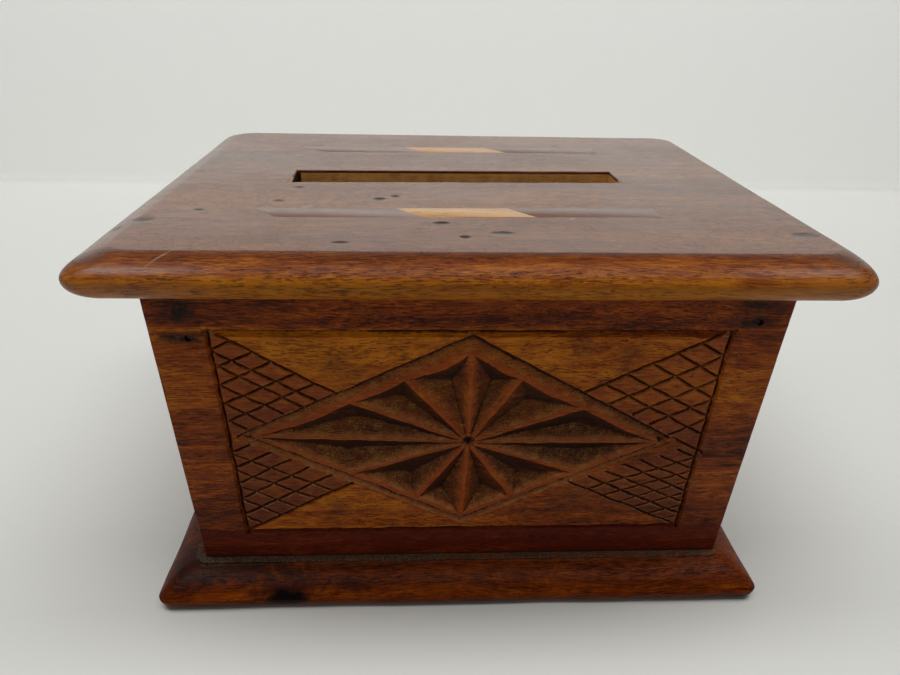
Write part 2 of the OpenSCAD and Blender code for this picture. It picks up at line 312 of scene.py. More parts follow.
def hardwood(finish, place, codes, cut_from, turn=0.0, figure=1.0, lift=0.0):
    """The shared wood: streaks along the grain, growth bands, fibres and short dark pores.
    Grain runs along X unless turned about Z, and lift makes it paler. It colours the finish,
    and gives the pores and fibres."""
    sockets = {"Vector": place, "Location": cut_from, "Rotation": (0, 0, turn)}
    laid = finish.node("Mapping", {"vector_type": "POINT"}, sockets)
    bend = finish.node("TexNoise", None, {"Vector": laid, "Scale": 0.018, "Detail": 2.0}, 1)
    bend = finish.vector("MULTIPLY", finish.vector("SUBTRACT", bend, (0.5, 0.5, 0.5)), (0, 9, 9))
    laid = finish.vector("ADD", laid, bend)

    def drawn(stretch, scale, detail, rough):
        return finish.cloud(finish.vector("MULTIPLY", laid, (stretch, 1, 1)), scale, detail, rough)

    streaks = drawn(0.045, 0.34, 3.0, 0.55)
    broad = drawn(0.09, 0.075, 2.0, 0.5)
    fibres = drawn(0.06, 2.6, 4.0, 0.7)
    hairs = drawn(0.035, 6.5, 2.0, 0.6)
    mottle = drawn(0.35, 0.5, 4.0, 0.65)
    pore_field = drawn(0.14, 3.4, 1.0, 0.5)
    crowd = drawn(0.05, 0.4, 2.0, 0.5)
    flecks = finish.between(drawn(0.4, 2.4, 2.0, 0.5), 0.6, 0.74)
    from_heart = finish.vector("MULTIPLY", finish.vector("ADD", laid, (0, 70, 55)), (0, 1, 1))
    across = finish.vector("LENGTH", from_heart, output=1)
    bands = finish.math("SINE", across * 1.9 + streaks * 9.0) * 0.5 + 0.5
    pores = finish.between(pore_field + crowd * 0.45, 0.82, 0.92)
    parts = ((broad, 0.5), (streaks, 0.3), (bands, 0.05), (mottle, 0.45), (fibres, 0.6), (hairs, 0.5))
    shade = sum((field - 0.5) * (share * figure) for field, share in parts) + 0.5 + flecks * 0.12 + lift
    stops = list(zip((0.28, 0.5, 0.78), map(paint, codes)))
    finish.colour = finish.node("ValToRGB", None, {0: shade}, stops=stops)
    finish.wash("#1c0a02", pores * 0.5)
    return pores, fibres


def ovals(finish, place, marks, wobble):
    """How deep inside any of the marks a point is. A mark is (centre, half sizes) in mm."""
    total = 0.0
    for centre, halves in marks:
        offset = finish.vector("DIVIDE", finish.vector("SUBTRACT", place, centre), halves)
        far = finish.vector("LENGTH", offset, output=1) + wobble
        total = finish.clip(1.3 - far) + total
    return finish.clip(total)


def bezier(a, b, c, steps):
    """Points on a quadratic curve from a to c that pulls towards b."""
    ts = np.linspace(0, 1, steps + 1)[:, None]
    a, b, c = (np.array(p, float) for p in (a, b, c))
    return [tuple(p) for p in (1 - ts) ** 2 * a + 2 * (1 - ts) * ts * b + ts ** 2 * c]


plinth_half_x = (plinth_high.x - plinth_low.x) / 2 / MM
plinth_shift = (plinth_high.x + plinth_low.x) / 2 / MM
plinth_half_y = plinth_high.y / MM
ledge_inset = plinth_half_x - body_foot_x - ledge
plinth_profile = [
    (ledge_inset + 0.5, plinth_top),
    (ledge_inset + 0.12, plinth_top),
    (ledge_inset, plinth_top - 0.1),
    (ledge_inset - 0.02, plinth_top - 0.42),
]
slope_top = (ledge_inset - 0.1, plinth_top - 0.5)
slope_middle = (0.28 * ledge_inset, 0.65 * plinth_top + 0.35 * plinth_belly)
plinth_profile += bezier(slope_top, slope_middle, (0, plinth_belly), 14)
for a in np.linspace(0, math.pi / 2, 9)[1:]:
    plinth_profile.append((plinth_under * (1 - math.cos(a)), plinth_belly * (1 - math.sin(a))))
plinth = moulded_blank(plinth_half_x, plinth_half_y, plinth_corner, plinth_profile)
for vert in plinth.verts:
    if 0.4 < vert.co.z < plinth_top - 0.3:
        pull = 0.12 * (1 + ripple(np.array([vert.co[:]]), 23, 11)[0])
        vert.co.x -= math.copysign(pull, vert.co.x) * (abs(vert.co.x) > body_foot_x)
        vert.co.y -= math.copysign(pull, vert.co.y) * (abs(vert.co.y) > body_foot_y)
    vert.co.x += plinth_shift
plinth = to_object("plinth", plinth)

slide_low, slide_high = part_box("money_slide")
slide_gap = 0.3
slide_bevel = 2.4
slide_thick = (slide_high.z - slide_low.z) / MM
slide_lift = slide_low.z / MM
channel_top = slide_high.z / MM + slide_gap
slide_front = slide_low.y / MM
slide_half = slide_high.x / MM + slide_gap - slide_bevel
hole_half_x = 32
hole_half_y = 28
upright = Matrix.Rotation(math.pi / 2, 4, "X")


def dovetail(name, low, high, gap, front, back):
    """A bar along Y, wider above than below, as a cutter or a blank for the slide."""
    def half(z):
        return slide_half - gap + slide_bevel * (z - slide_lift) / slide_thick
    outline = [(half(low), low), (half(high), high), (-half(high), high), (-half(low), low)]
    return prism(name, outline, -back, -front, upright)


screw_low, screw_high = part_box("plinth_screws")
screw_head = 2.5
screw_reach_x = screw_high.x / MM - screw_head
screw_reach_y = screw_high.y / MM - screw_head
screw_places = [(-40, -screw_reach_y), (40, -screw_reach_y), (-50, screw_reach_y), (50, screw_reach_y)]
screw_places += [(-screw_reach_x, 0), (screw_reach_x, 0)]


def turned(name, outline, steps=40, at=(0, 0)):
    """A solid turned from (radius, height) points, standing at a place."""
    work = bmesh.new()
    rows = []
    for k in range(steps):
        a = 2 * math.pi * k / steps
        c, s = math.cos(a), math.sin(a)
        rows.append([work.verts.new((at[0] + r * c, at[1] + r * s, z)) for r, z in outline])
    for k, row in enumerate(rows):
        following = rows[(k + 1) % steps]
        for i in range(len(outline) - 1):
            work.faces.new((row[i], following[i], following[i + 1], row[i + 1]))
    bmesh.ops.remove_doubles(work, verts=work.verts, dist=1e-5)
    bmesh.ops.recalc_face_normals(work, faces=work.faces)
    return to_object(name, work)


sink_wide = screw_head + 0.25
shank_hole = 1.36
countersink = [(0, -1), (sink_wide, -1), (sink_wide, 0.0), (screw_head + 0.1, 0.5)]
countersink += [(shank_hole, 1.75), (shank_hole, plinth_top + 1), (0, plinth_top + 1)]
cutters = [turned("sink", countersink, at=p) for p in screw_places]
cutters.append(dovetail("channel", -1, channel_top, 0, slide_front - slide_gap, 100))
hole = [(x * hole_half_x, y * hole_half_y) for x, y in ((-1, -1), (1, -1), (1, 1), (-1, 1))]
cutters.append(prism("hole", hole, 0.5, plinth_top + 1))
cut_away(plinth, cutters)
smooth_faces(plinth)

wood = Finish("plinth hardwood")
place = wood.place()
patches = wood.cloud(place, 0.09, 3.0)
blots = wood.cloud(place, 0.45, 4.0, 0.65)
specks = wood.cloud(place, 3.6, 3.0, 0.7)
height = wood.part(place, "Z")
reds = ("#300e00", "#6c2b02", "#984a06")
pores, fibres = hardwood(wood, place, reds, (31, 12, 5), lift=patches * 0.26 - 0.22)
knot = ovals(wood, place, [((-42.0, -58.4, 3.2), (5.2, 2.8, 2.3))], blots * 0.9 - 0.4)
halo_at = [
    ((-42, -57, 5.0), (8.5, 4.0, 2.6)),
    ((-65, -51, 6.6), (8, 9, 3.2)),
    ((-52, -53.5, 7.4), (17, 4, 1.5)),
    ((-27, -56, 5.2), (5, 3, 1.3)),
]
halo = ovals(wood, place, halo_at, blots * 2.4 - 1.25)
wood.wash("#120b0e", halo * 0.7)
wood.wash("#050306", wood.between(knot, 0.0, 0.8) * 0.97)
grime = wood.between(height + blots * 1.5, plinth_top + 0.1, plinth_top + 1.0)
dust = wood.tint(paint("#2e2519"), paint("#6d6450"), wood.between(specks, 0.42, 0.62))
wood.colour = wood.tint(wood.colour, dust, grime * 0.85)
shine = blots * 0.2 + 0.3 + grime * 0.4
relief = fibres * 0.35 - pores * 0.9 + patches * 0.5 + grime * specks
finished(plinth, "plinth_board", "box", wood.close(shine, relief, 0.0001, specular=0.07))

# ---------------------------------------------------------------------------------------
# Money slide: a thin bare board with bevelled edges that runs in the plinth's channel, with
# a scooped thumb grip near its back end. It is rubbed darker where fingers draw it out.
# ---------------------------------------------------------------------------------------
slide = moulded_blank(plinth_half_x, plinth_half_y, plinth_corner, plinth_profile)
slide = to_object("money_slide_panel", slide)
bar = dovetail("bar", slide_lift, slide_high.z / MM, slide_gap, slide_front, 100)
cut_away(slide, [bar], "INTERSECT")
grip_circle = [(9.2 * math.cos(a), 9.2 * math.sin(a)) for a in np.linspace(0, 2 * math.pi, 97)[:-1]]
lay = Matrix.Translation((0, plinth_half_y - 14, slide_lift - 8)) @ Matrix.Rotation(math.pi / 2, 4, "Y")
cut_away(slide, [prism("grip", grip_circle, -11, 11, lay)])


def soften(piece, width):
    """Bevels a piece's sharp edges by a width in mm, and shades it smooth."""
    bevel = piece.modifiers.new("soften", "BEVEL")
    bevel.width = width * MM
    bevel.segments = 2
    bevel.limit_method = "ANGLE"
    bevel.angle_limit = math.radians(35)
    settle(piece)
    smooth_faces(piece)


soften(slide, 0.25)

wood = Finish("slide hardwood")
place = wood.place()
bare = ("#4a2610", "#7a481c", "#9c6830")
pores, fibres = hardwood(wood, place, bare, (7, 40, 3), math.pi / 2)
handled = wood.cloud(place, 0.06, 3.0)
near_grip = ovals(wood, place, [((0, plinth_half_y - 12, 0), (26, 16, 6))], handled * 0.8 - 0.2)
wood.wash("#2e170b", near_grip * 0.55)
relief = fibres * 0.6 - pores
finished(slide, "money_slide", "slide", wood.close(handled * 0.2 + 0.5, relief, 0.00008))

# ---------------------------------------------------------------------------------------
# Back and end boards: hardwood, leaning outwards as they rise, mitred and glued at the
# corners, with their outer arrises worn round. The grain runs along each board.
# ---------------------------------------------------------------------------------------
wall = 6.5
worn = 0.5
lean = math.atan(splay / body_tall)
board_tall = body_tall / math.cos(lean)


def placed(points, foot_out):
    """Takes (x, up the board, out of its face) to the frame, for a board facing -Y."""
    x, s, n = points.T
    y = -foot_out - s * math.sin(lean) - n * math.cos(lean)
    return np.stack([x, y, plinth_top + s * math.cos(lean) - n * math.sin(lean)], 1)


def segments(path, gap):
    """The path's points, with more between them so that none are further apart than the gap."""
    dense = [path[0]]
    for a, b in zip(path, path[1:]):
        count = max(1, math.ceil(math.dist(a, b) / gap))
        dense += [tuple(np.array(a) + (np.array(b) - a) * k / count) for k in range(1, count + 1)]
    return dense


def board(name, foot_along, foot_out, turn, lines=(), scatter=None, shape=None, seed=3):
    """A leaning mitred board. Lines are paths drawn on its face, scatter gives points between
    them and shape gives each point's place after cutting, as (x, up, out)."""
    def edge(s):
        return foot_along + s * math.sin(lean) - worn
    arc = [(worn * math.sin(a), worn * (1 - math.cos(a))) for a in np.linspace(0, math.pi / 4, 4)]
    paths = [segments(path, 0.9) for path in lines]
    for out, _ in arc:
        for side in (-1, 1):
            ends = [(side * (edge(s) + out), s) for s in (0, board_tall)]
            paths.append(segments(ends, 1.5))
    reach = arc[-1][0]
    for s in (0, board_tall):
        paths.append(segments([(-edge(s) - reach, s), (edge(s) + reach, s)], 1.5))
    points, edges = [], []
    for path in paths:
        edges += [(len(points) + k, len(points) + k + 1) for k in range(len(path) - 1)]
        points += path
    points = np.array(points)
    if scatter is None:
        rng = np.random.default_rng(seed)
        spread = np.arange(-foot_along, foot_along, 2.6), np.arange(1.5, board_tall - 1, 2.6)
        grid = np.array(np.meshgrid(*spread)).reshape(2, -1).T
        scatter = grid + rng.uniform(-0.6, 0.6, grid.shape)
    across, up = scatter.T
    within = (abs(across) < edge(up) - 0.3) & (up > 0.3) & (up < board_tall - 0.3)
    points = np.vstack([points, scatter[within]])
    made = delaunay_2d_cdt([Vector(p) for p in points], edges, [], 0, 1e-5)
    flat = np.array([tuple(v) for v in made[0]])
    past = np.clip(abs(flat[:, 0]) - edge(flat[:, 1]), 0, reach)
    face = np.stack([flat[:, 0], flat[:, 1], np.sqrt(worn ** 2 - past ** 2) - worn], 1)
    if shape is not None:
        face = shape(face, foot_along)
    where = placed(face, foot_out)
    work = bmesh.new()
    verts = [work.verts.new(p) for p in where]
    for tri in made[2]:
        work.faces.new([verts[i] for i in tri])
    rim = [e for e in work.edges if len(e.link_faces) == 1]
    inner = {}
    for vert in dict.fromkeys(v for e in rim for v in e.verts):
        rise = (vert.co.z - plinth_top) * math.tan(lean)
        share = (foot_along + rise - wall) / (foot_along + rise - worn + reach)
        inner[vert] = work.verts.new((vert.co.x * share, -(foot_out + rise - wall), vert.co.z))
    for e in rim:
        a, b = e.verts
        work.faces.new((a, b, inner[b], inner[a]))
    follow = {}
    for e in rim:
        a, b = e.verts
        follow.setdefault(a, []).append(b)
        follow.setdefault(b, []).append(a)
    loop = [next(iter(follow))]
    while len(loop) < len(follow):
        loop.append(next(v for v in follow[loop[-1]] if len(loop) < 2 or v != loop[-2]))
    work.faces.new([inner[v] for v in loop])
    bmesh.ops.recalc_face_normals(work, faces=work.faces)
    work.transform(Matrix.Rotation(turn, 4, "Z"))
    for vert in work.verts:
        x, y, z = vert.co
        rise = (z - plinth_top) * math.tan(lean) - worn
        if abs(x) > body_foot_x + rise and abs(y) > body_foot_y + rise:
            nicks = ripple(np.array([[z, 0.0]]), 5, 21 + 2 * (x > 0) + (y > 0))[0]
            wear = 0.16 * min(max(nicks, 0), 1)
            vert.co.x -= math.copysign(wear, x)
            vert.co.y -= math.copysign(wear, y)
    return to_object(name, work)


screw_bore = 1.35
bore_low, bore_high = plinth_top - 1, plinth_top + 10
bore = [(0, bore_low), (screw_bore, bore_low), (screw_bore, bore_high), (0, bore_high + 1)]
pin_sunk = 0.6
pin_tilt = math.radians(10)
pin_spots = [(-56.8, 60.2), (58.3, 63.9)]


def pin_axes(turn):
    """Where each pin's head sits and which way it was driven, for a board turned about Z."""
    found = []
    for x, s in pin_spots:
        spot = placed(np.array([[x, s, 0.0]]), body_foot_y)[0]
        swing = math.copysign(pin_tilt, x)
        out = placed(np.array([[x + math.sin(swing), s, math.cos(swing)]]), body_foot_y)[0] - spot
        around = Matrix.Rotation(turn, 3, "Z")
        found.append((around @ Vector(spot), around @ Vector(out)))
    return found


def pin_bores(turn):
    """Cutters for the pins of one board."""
    made = []
    for spot, out in pin_axes(turn):
        stem = turned("pin_bore", [(0, -13), (0.66, -13), (0.66, 3), (0, 3)], 20)
        stem.data.transform(Matrix.Translation(spot * MM) @ out.to_track_quat("Z", "Y").to_matrix().to_4x4())
        made.append(stem)
    return made


def body_wood(name, cut_from, turn, stains_at):
    """The boards' polished finish, darker under the lid and grimy along the foot."""
    finish = Finish(name)
    place = finish.place()
    patches = finish.cloud(place, 0.06, 3.0)
    blots = finish.cloud(place, 0.4, 4.0, 0.65)
    height = finish.part(place, "Z")
    shaded = finish.between(height + patches * 14, lid_under - 4, lid_under + 9)
    browns = ("#3a1300", "#803702", "#ac5c08")
    lift = patches * 0.3 - 0.15 - shaded * 0.12
    pores, fibres = hardwood(finish, place, browns, cut_from, turn, lift=lift)
    foot_dirt = finish.between(blots * 3 - height, -plinth_top - 0.3, -plinth_top + 1.6)
    finish.wash("#2a2118", foot_dirt * 0.7)
    if stains_at:
        finish.wash("#0c0709", ovals(finish, place, stains_at, blots * 2.0 - 0.8) * 0.7)
    relief = fibres * 0.4 - pores + blots * 0.5
    return finish.close(patches * 0.16 + 0.34 + foot_dirt * 0.3, relief, 0.0001, specular=0.07)


back_stains = [((-x, body_top_y - 1, plinth_top + s), (4.5, 4, 1.3)) for x, s in pin_spots]
back_wood = body_wood("back hardwood", (11, 3, 47), 0.0, back_stains)
end_wood = body_wood("end hardwood", (90, 33, 7), math.pi / 2, None)

back = board("back_board", body_foot_x, body_foot_y, math.pi, seed=4)
back_screws = [turned("bore", bore, 24, p) for p in screw_places if p[1] > 1]
cut_away(back, back_screws + pin_bores(math.pi))
smooth_faces(back)
finished(back, "back_panel", "box", back_wood)

for side, label in ((-1, "left"), (1, "right")):
    end = board(label + "_end_board", body_foot_y, body_foot_x, side * math.pi / 2, seed=6)
    cut_away(end, [turned("bore", bore, 24, p) for p in screw_places if p[0] * side > 55])
    smooth_faces(end)
    finished(end, label + "_panel", "box", end_wood)

# ---------------------------------------------------------------------------------------
# Front board: the same wood, chip carved by hand. A twelve-rayed star stands inside a lozenge
# with a groove round it; crossed lines fill the corners and a cut line frames it all.
# ---------------------------------------------------------------------------------------
border_side, border_low, border_high = 11.4, 8.4, 62.0
border_wide, border_deep = 1.3, 0.9
star = np.array((-0.2, 33.9))
crest = star + np.array([(0, 23.3), (42.6, -0.3), (-1.1, -21.9), (-46.9, 1.9)])
rim = star + np.array([(0, 27.4), (46.7, 0.4), (-0.9, -24.4), (-51.2, 1.9)])
ridge_ends = [(10.6, 50.6), (24.7, 43.0), (24.6, 25.0), (10.4, 18.0)]
ridge_ends += [(-11.9, 17.9), (-26.6, 25.3), (-25.7, 44.7), (-14.0, 50.6)]
ends = np.array([p for k in range(4) for p in (crest[k], *ridge_ends[2 * k:2 * k + 2])])
groove_deep = 1.2
groove_valley = (0.27, 0.72, 0.72, 0.25)
chip_deep = 2.4
# Each chip's deepest point: its share of the way between its two outer corners, how far out
# from the star's centre it lies, and how far its outer edge bows inwards in mm
chips = [
    (0.55, 0.77, 0.35), (0.4, 0.76, 0.4), (0.42, 0.76, 0.5), (0.53, 0.77, 0.2),
    (0.66, 0.77, 0.2), (0.5, 0.76, 0.3), (0.57, 0.8, 0.3), (0.36, 0.76, 0.2),
    (0.44, 0.76, 0.25), (0.68, 0.75, 0.8), (0.62, 0.8, 0.4), (0.62, 0.74, 1.0),
]
ridge_half = 0.42
hatch_wide, hatch_deep = 0.95, 0.6


def mix(a, b, t):
    return np.array(a) + (np.array(b) - np.array(a)) * t


def side_distance(points, a, b):
    """Distance of points to the right of the line from a to b."""
    run = (b - a) / np.linalg.norm(b - a)
    return (points - a) @ np.array([run[1], -run[0]])


class Stroke:
    """A V-shaped cut from a to b. The lowest line can lie off its middle, by lop times its half width."""

    def __init__(self, a, b, wide, deep, lop=0.0):
        self.a, self.b = np.array(a, float), np.array(b, float)
        self.half, self.deep, self.low = wide / 2, deep, lop * wide / 2

    def depth(self, points):
        run = self.b - self.a
        length = np.linalg.norm(run)
        run = run / length
        along = (points - self.a) @ run
        across = (points - self.a) @ np.array([-run[1], run[0]]) - self.low
        slope = np.where(across > 0, self.half - self.low, self.half + self.low)
        ends_up = np.clip(np.minimum(along, length - along) / 0.7 + 1, 0, 1)
        return self.deep * np.clip(ends_up - abs(across) / slope, 0, 1)

    def paths(self):
        run = (self.b - self.a) / np.linalg.norm(self.b - self.a)
        off = np.array([-run[1], run[0]])
        shifts = [off * far for far in (-self.half, self.low, self.half)]
        return [[tuple(self.a + shift), tuple(self.b + shift)] for shift in shifts]


rng = np.random.default_rng(17)
corner = []
for side, s in ((-1, border_high), (1, border_high), (1, border_low), (-1, border_low)):
    corner.append(np.array((side * (body_foot_x + s * math.sin(lean) - border_side), s)))
strokes = [Stroke(corner[0] + (-0.5, -0.65), corner[1] + (0.5, -0.65), 1.7, 1.0, 0.72),
           Stroke(corner[1], corner[2] + (0, -0.6), border_wide, border_deep, 0.1),
           Stroke(corner[2], corner[3], 1.15, 0.7, -0.35),
           Stroke(corner[3] + (0, -0.9), corner[0], border_wide, border_deep, -0.1)]


def hatch(start, side_mid, tip, first, second, wide):
    """Crossed strokes in a triangle: some along its upper edge, some along the lozenge."""
    for t in first:
        off_a, off_b = rng.normal(0, 0.16, 2)
        a, b = mix(start, tip, t) + (0, off_a), mix(side_mid, tip, t) + (0, off_b)
        strokes.append(Stroke(a, b, wide * rng.uniform(0.85, 1.2), hatch_deep * rng.uniform(0.8, 1.15)))
    for t in second:
        off_a, off_b = rng.normal(0, 0.16, 2)
        a, b = mix(start, side_mid, t) + (0, off_a), mix(start, tip, t) + (0, off_b)
        strokes.append(Stroke(a, b, wide * rng.uniform(0.8, 1.1), hatch_deep * rng.uniform(0.75, 1.1)))


left_tip = rim[3] - (0.6, 0)
right_tip = mix(rim[0], rim[1], 1.12)
hatch(corner[0], mix(rim[0], rim[3], 0.56), left_tip,
      (0, 0.17, 0.3, 0.48, 0.66, 0.83), (0.17, 0.33, 0.5, 0.68, 0.84), hatch_wide)
hatch(corner[3], mix(rim[2], rim[3], 0.5), left_tip,
      (0, 0.18, 0.36, 0.52, 0.68, 0.84), (0.16, 0.34, 0.5, 0.66, 0.83), hatch_wide)
hatch(corner[1], mix(rim[0], rim[1], 0.53), right_tip,
      (0, 0.2, 0.38, 0.55, 0.72), (0.2, 0.37, 0.53, 0.7, 0.86), hatch_wide)
hatch(corner[2], mix(rim[2], rim[1], 0.52), right_tip + (0, 1.6),
      (0, 0.15, 0.29, 0.43, 0.57, 0.71, 0.85), (0.14, 0.28, 0.42, 0.56, 0.7, 0.84), hatch_wide * 0.9)
strokes.append(Stroke(mix(rim[0], rim[1], 0.99), right_tip + (0.8, -0.5), 1.0, 0.6))


class Chip:
    """One hollow of the star: three slopes that fall from its edges to one deepest point."""

    def __init__(self, a, b, share, out, bow):
        run = (b - a) / np.linalg.norm(b - a)
        middle = (a + b) / 2 - star
        self.tip = star + middle / np.linalg.norm(middle) * 0.9
        pull = 1 - 0.45 / np.linalg.norm(middle)
        self.a = star + (a + run * ridge_half - star) * pull
        self.b = star + (b - run * ridge_half - star) * pull
        self.low = mix(star, mix(self.a, self.b, share), out)
        self.bow = bow
        self.keen = 0.8 if np.linalg.norm(b - a) > 18 else 0.88

    def reaches(self, points):
        """Distances in from the three edges, the outer one bowed inwards."""
        along = (points - self.a) @ (self.b - self.a) / np.dot(self.b - self.a, self.b - self.a)
        bowed = side_distance(points, self.a, self.b) - self.bow * 4 * np.clip(along * (1 - along), 0, 1)
        return [bowed, side_distance(points, self.b, self.tip), side_distance(points, self.tip, self.a)]

    def depth(self, points):
        deepest = self.reaches(self.low[None])
        share = np.min([r / d[0] for r, d in zip(self.reaches(points), deepest)], 0)
        return chip_deep * np.clip(share, 0, 1) ** self.keen

    def paths(self):
        inward = np.array([-(self.b - self.a)[1], (self.b - self.a)[0]])
        inward = -inward / np.linalg.norm(inward)
        shares = np.linspace(0, 1, 13)
        outer = [tuple(mix(self.a, self.b, t) + inward * self.bow * 4 * t * (1 - t)) for t in shares]
        around = outer + [tuple(self.tip), outer[0]]
        return [around] + [[tuple(p), tuple(self.low)] for p in (self.a, self.b, self.tip)]


hollows = [Chip(ends[i], ends[(i + 1) % 12], *chips[i]) for i in range(12)]


def inside(points, polygon):
    """Distance in from the nearest side of a clockwise polygon, and which side that is."""
    reach = np.array([side_distance(points, polygon[k], polygon[(k + 1) % 4]) for k in range(4)])
    return reach.min(0), reach.argmin(0)


def groove_depth(points):
    """The groove between the lozenge's rim and its crest, with its lowest line off the middle."""
    past_rim, side = inside(points, rim)
    to_crest = np.clip(-inside(points, crest)[0], 0, None)
    valley = np.array(groove_valley)[side]
    u = past_rim / (past_rim + to_crest + 1e-9)
    fall = np.where(u < valley, u / valley, 1 - 0.9 * (u - valley) / (1 - valley))
    return np.where((past_rim > 0) & (to_crest > 0), groove_deep * fall, 0)


def carved_depth(points):
    """How far below the face the board's surface lies at each point."""
    in_rim = inside(points, rim)[0] > 0
    in_crest = inside(points, crest)[0] >= 0
    lines = np.max([stroke.depth(points) for stroke in strokes], 0)
    star_depth = np.max([hollow.depth(points) for hollow in hollows], 0) + groove_deep * 0.1
    pit = 1.5 * np.exp(-(np.linalg.norm(points - star, axis=1) / 1.1) ** 2)
    return np.where(in_crest, np.maximum(star_depth, pit), np.where(in_rim, groove_depth(points), lines))


lines = []
for stroke in strokes:
    lines += stroke.paths()
for hollow in hollows:
    lines += hollow.paths()
for k in range(4):
    n = (k + 1) % 4
    lines += [[tuple(rim[k]), tuple(rim[n])], [tuple(crest[k]), tuple(crest[n])]]
    lines.append([tuple(mix(rim[i], crest[i], groove_valley[k])) for i in (k, n)])


def scattered(gap, low, high):
    xs, ys = np.arange(low[0], high[0], gap), np.arange(low[1], high[1], gap)
    grid = np.array(np.meshgrid(xs, ys)).reshape(2, -1).T
    return grid + rng.uniform(-0.28, 0.28, grid.shape) * gap


fine = scattered(0.5, (-54, 7), (54, 64))
in_rim, in_frame = inside(fine, rim)[0] > -0.3, abs(fine[:, 0]) < 53.5
hatched = (abs(fine[:, 0] + 1) > 20) & in_frame
busy = in_rim | (hatched & (carved_depth(fine) > 0))
coarse = scattered(1.6, (-64, 0), (64, 73))
open_face = (carved_depth(coarse) <= 0) & (inside(coarse, rim)[0] < -0.5)
scatter = np.vstack([fine[busy], coarse[open_face]])
nearest = np.full(len(scatter), 9.0)
for path in lines:
    for a, b in zip(path, path[1:]):
        a, run = np.array(a), np.array(b) - np.array(a)
        t = np.clip((scatter - a) @ run / (run @ run), 0, 1)
        nearest = np.minimum(nearest, np.linalg.norm(scatter - a - t[:, None] * run, axis=1))
scatter = scatter[nearest > 0.17]


def carve(face, foot_along):
    """Sinks the cuts, and gives every line the slight wander of a knife held by hand."""
    flat = face[:, :2]
    depth = carved_depth(flat)
    edge = foot_along + face[:, 1] * math.sin(lean)
    free = np.clip(np.minimum.reduce([edge - abs(face[:, 0]), face[:, 1], board_tall - face[:, 1]]) / 5, 0, 1)
    for axis in (0, 1):
        face[:, axis] += free * (0.09 * ripple(flat, 9, 30 + axis) + 0.035 * ripple(flat, 2.4, 40 + axis))
    rough = 0.035 * ripple(flat, 1.6, 50) + 0.03 * ripple(flat * (1, 2.5), 4, 51)
    face[:, 2] -= depth + np.clip(rough, -0.03, 1) * np.clip(depth * 3, 0, 1)
    return face


front = board("carved_front", body_foot_x, body_foot_y, 0.0, lines, scatter, carve)
cut_away(front, [turned("bore", bore, 24, p) for p in screw_places if p[1] < -1] + pin_bores(0.0))
smooth_faces(front, 24)


def read_out(things, label, width, kind=float):
    """One value of every vertex, edge or face, a row each."""
    values = np.empty(len(things) * width, dtype=kind)
    things.foreach_get(label, values)
    return values.reshape(-1, width)


mesh = front.data
spots = read_out(mesh.vertices, "co", 3) / MM
out = -(spots[:, 1] + body_foot_y) * math.cos(lean) - (spots[:, 2] - plinth_top) * math.sin(lean)
up = (spots[:, 2] - plinth_top) * math.cos(lean) - (spots[:, 1] + body_foot_y) * math.sin(lean)
flat = np.stack([spots[:, 0], up], 1)
faces_up = read_out(mesh.polygons, "normal", 3)[:, 2] * (read_out(mesh.polygons, "center", 3)[:, 1] < 0)
slope = mesh.attributes.new("slope", "FLOAT", "FACE")
slope.data.foreach_set("value", faces_up)
pairs = read_out(mesh.edges, "vertices", 2, int)
apart = np.linalg.norm(spots[pairs[:, 1]] - spots[pairs[:, 0]], axis=1)
rise = (out[pairs[:, 1]] - out[pairs[:, 0]]) / np.maximum(apart, 0.1)
total, count = np.zeros(len(out)), np.zeros(len(out))
for sign, column in ((1, 0), (-1, 1)):
    np.add.at(total, pairs[:, column], sign * rise)
    np.add.at(count, pairs[:, column], 1)
bend = total / np.maximum(count, 1)
in_lozenge = inside(flat, rim)[0]
in_border = np.minimum.reduce([side_distance(flat, corner[k], corner[(k + 1) % 4]) for k in range(4)])
triangles = [
    (corner[0], mix(rim[0], rim[3], 0.56), left_tip),
    (left_tip, mix(rim[2], rim[3], 0.5), corner[3]),
    (corner[1], right_tip, mix(rim[0], rim[1], 0.53)),
    (corner[2], mix(rim[2], rim[1], 0.5), right_tip + (1, 4)),
]
crossed = np.full(len(flat), -9.0)
for tri in triangles:
    reach = [side_distance(flat, tri[k], tri[(k + 1) % 3]) for k in range(3)]
    crossed = np.maximum(crossed, np.min(reach, 0))
front_side = out > -4
marks = {
    "cut": (np.clip(-out / 1.4, 0, 1) * front_side, bend * front_side, 0 * bend),
    "zone": ((in_lozenge > 0) * front_side, (crossed > -0.2) * front_side, (in_border > 0) * front_side),
}
for label, columns in marks.items():
    layer = mesh.attributes.new(label, "FLOAT_VECTOR", "POINT")
    layer.data.foreach_set("vector", np.stack(columns, 1).astype(float).ravel())

wood = Finish("carved hardwood")
place = wood.place()
cut_mark = wood.node("Attribute", {"attribute_name": "cut"}, None, 1)
zone_mark = wood.node("Attribute", {"attribute_name": "zone"}, None, 1)
faces_sky = wood.node("Attribute", {"attribute_name": "slope"}, None, 2)
sunk, fold = (wood.part(cut_mark, axis) for axis in "XY")
in_star, in_hatch, in_frame = (wood.part(zone_mark, axis) for axis in "XYZ")
patches = wood.cloud(place, 0.07, 3.0)
blots = wood.cloud(place, 0.45, 4.0, 0.62)
grit = wood.cloud(place, 3.4, 3.0, 0.7)
height = wood.part(place, "Z")
field = wood.clip(in_frame - in_star - in_hatch)
rail_top, rail_low = plinth_top + border_high, plinth_top + border_low
# Painted shade: the top rail is darker where the lid overhangs it.
top_rail_shade = wood.between(height + blots * 2, rail_top + 0.6, rail_top + 2.6)
low_rail = wood.between(blots * 1.5 - height, -rail_low - 0.2, -rail_low + 1.4)
# Painted shade: the board is darker towards its foot, where less light reaches it.
low_board_shade = wood.between(height * -1, -plinth_top - 50, -plinth_top - 12)
to_right = wood.between(wood.part(place, "X"), -20, 35)
lift = field * (0.16 - to_right * 0.1) + patches * 0.24 - 0.1
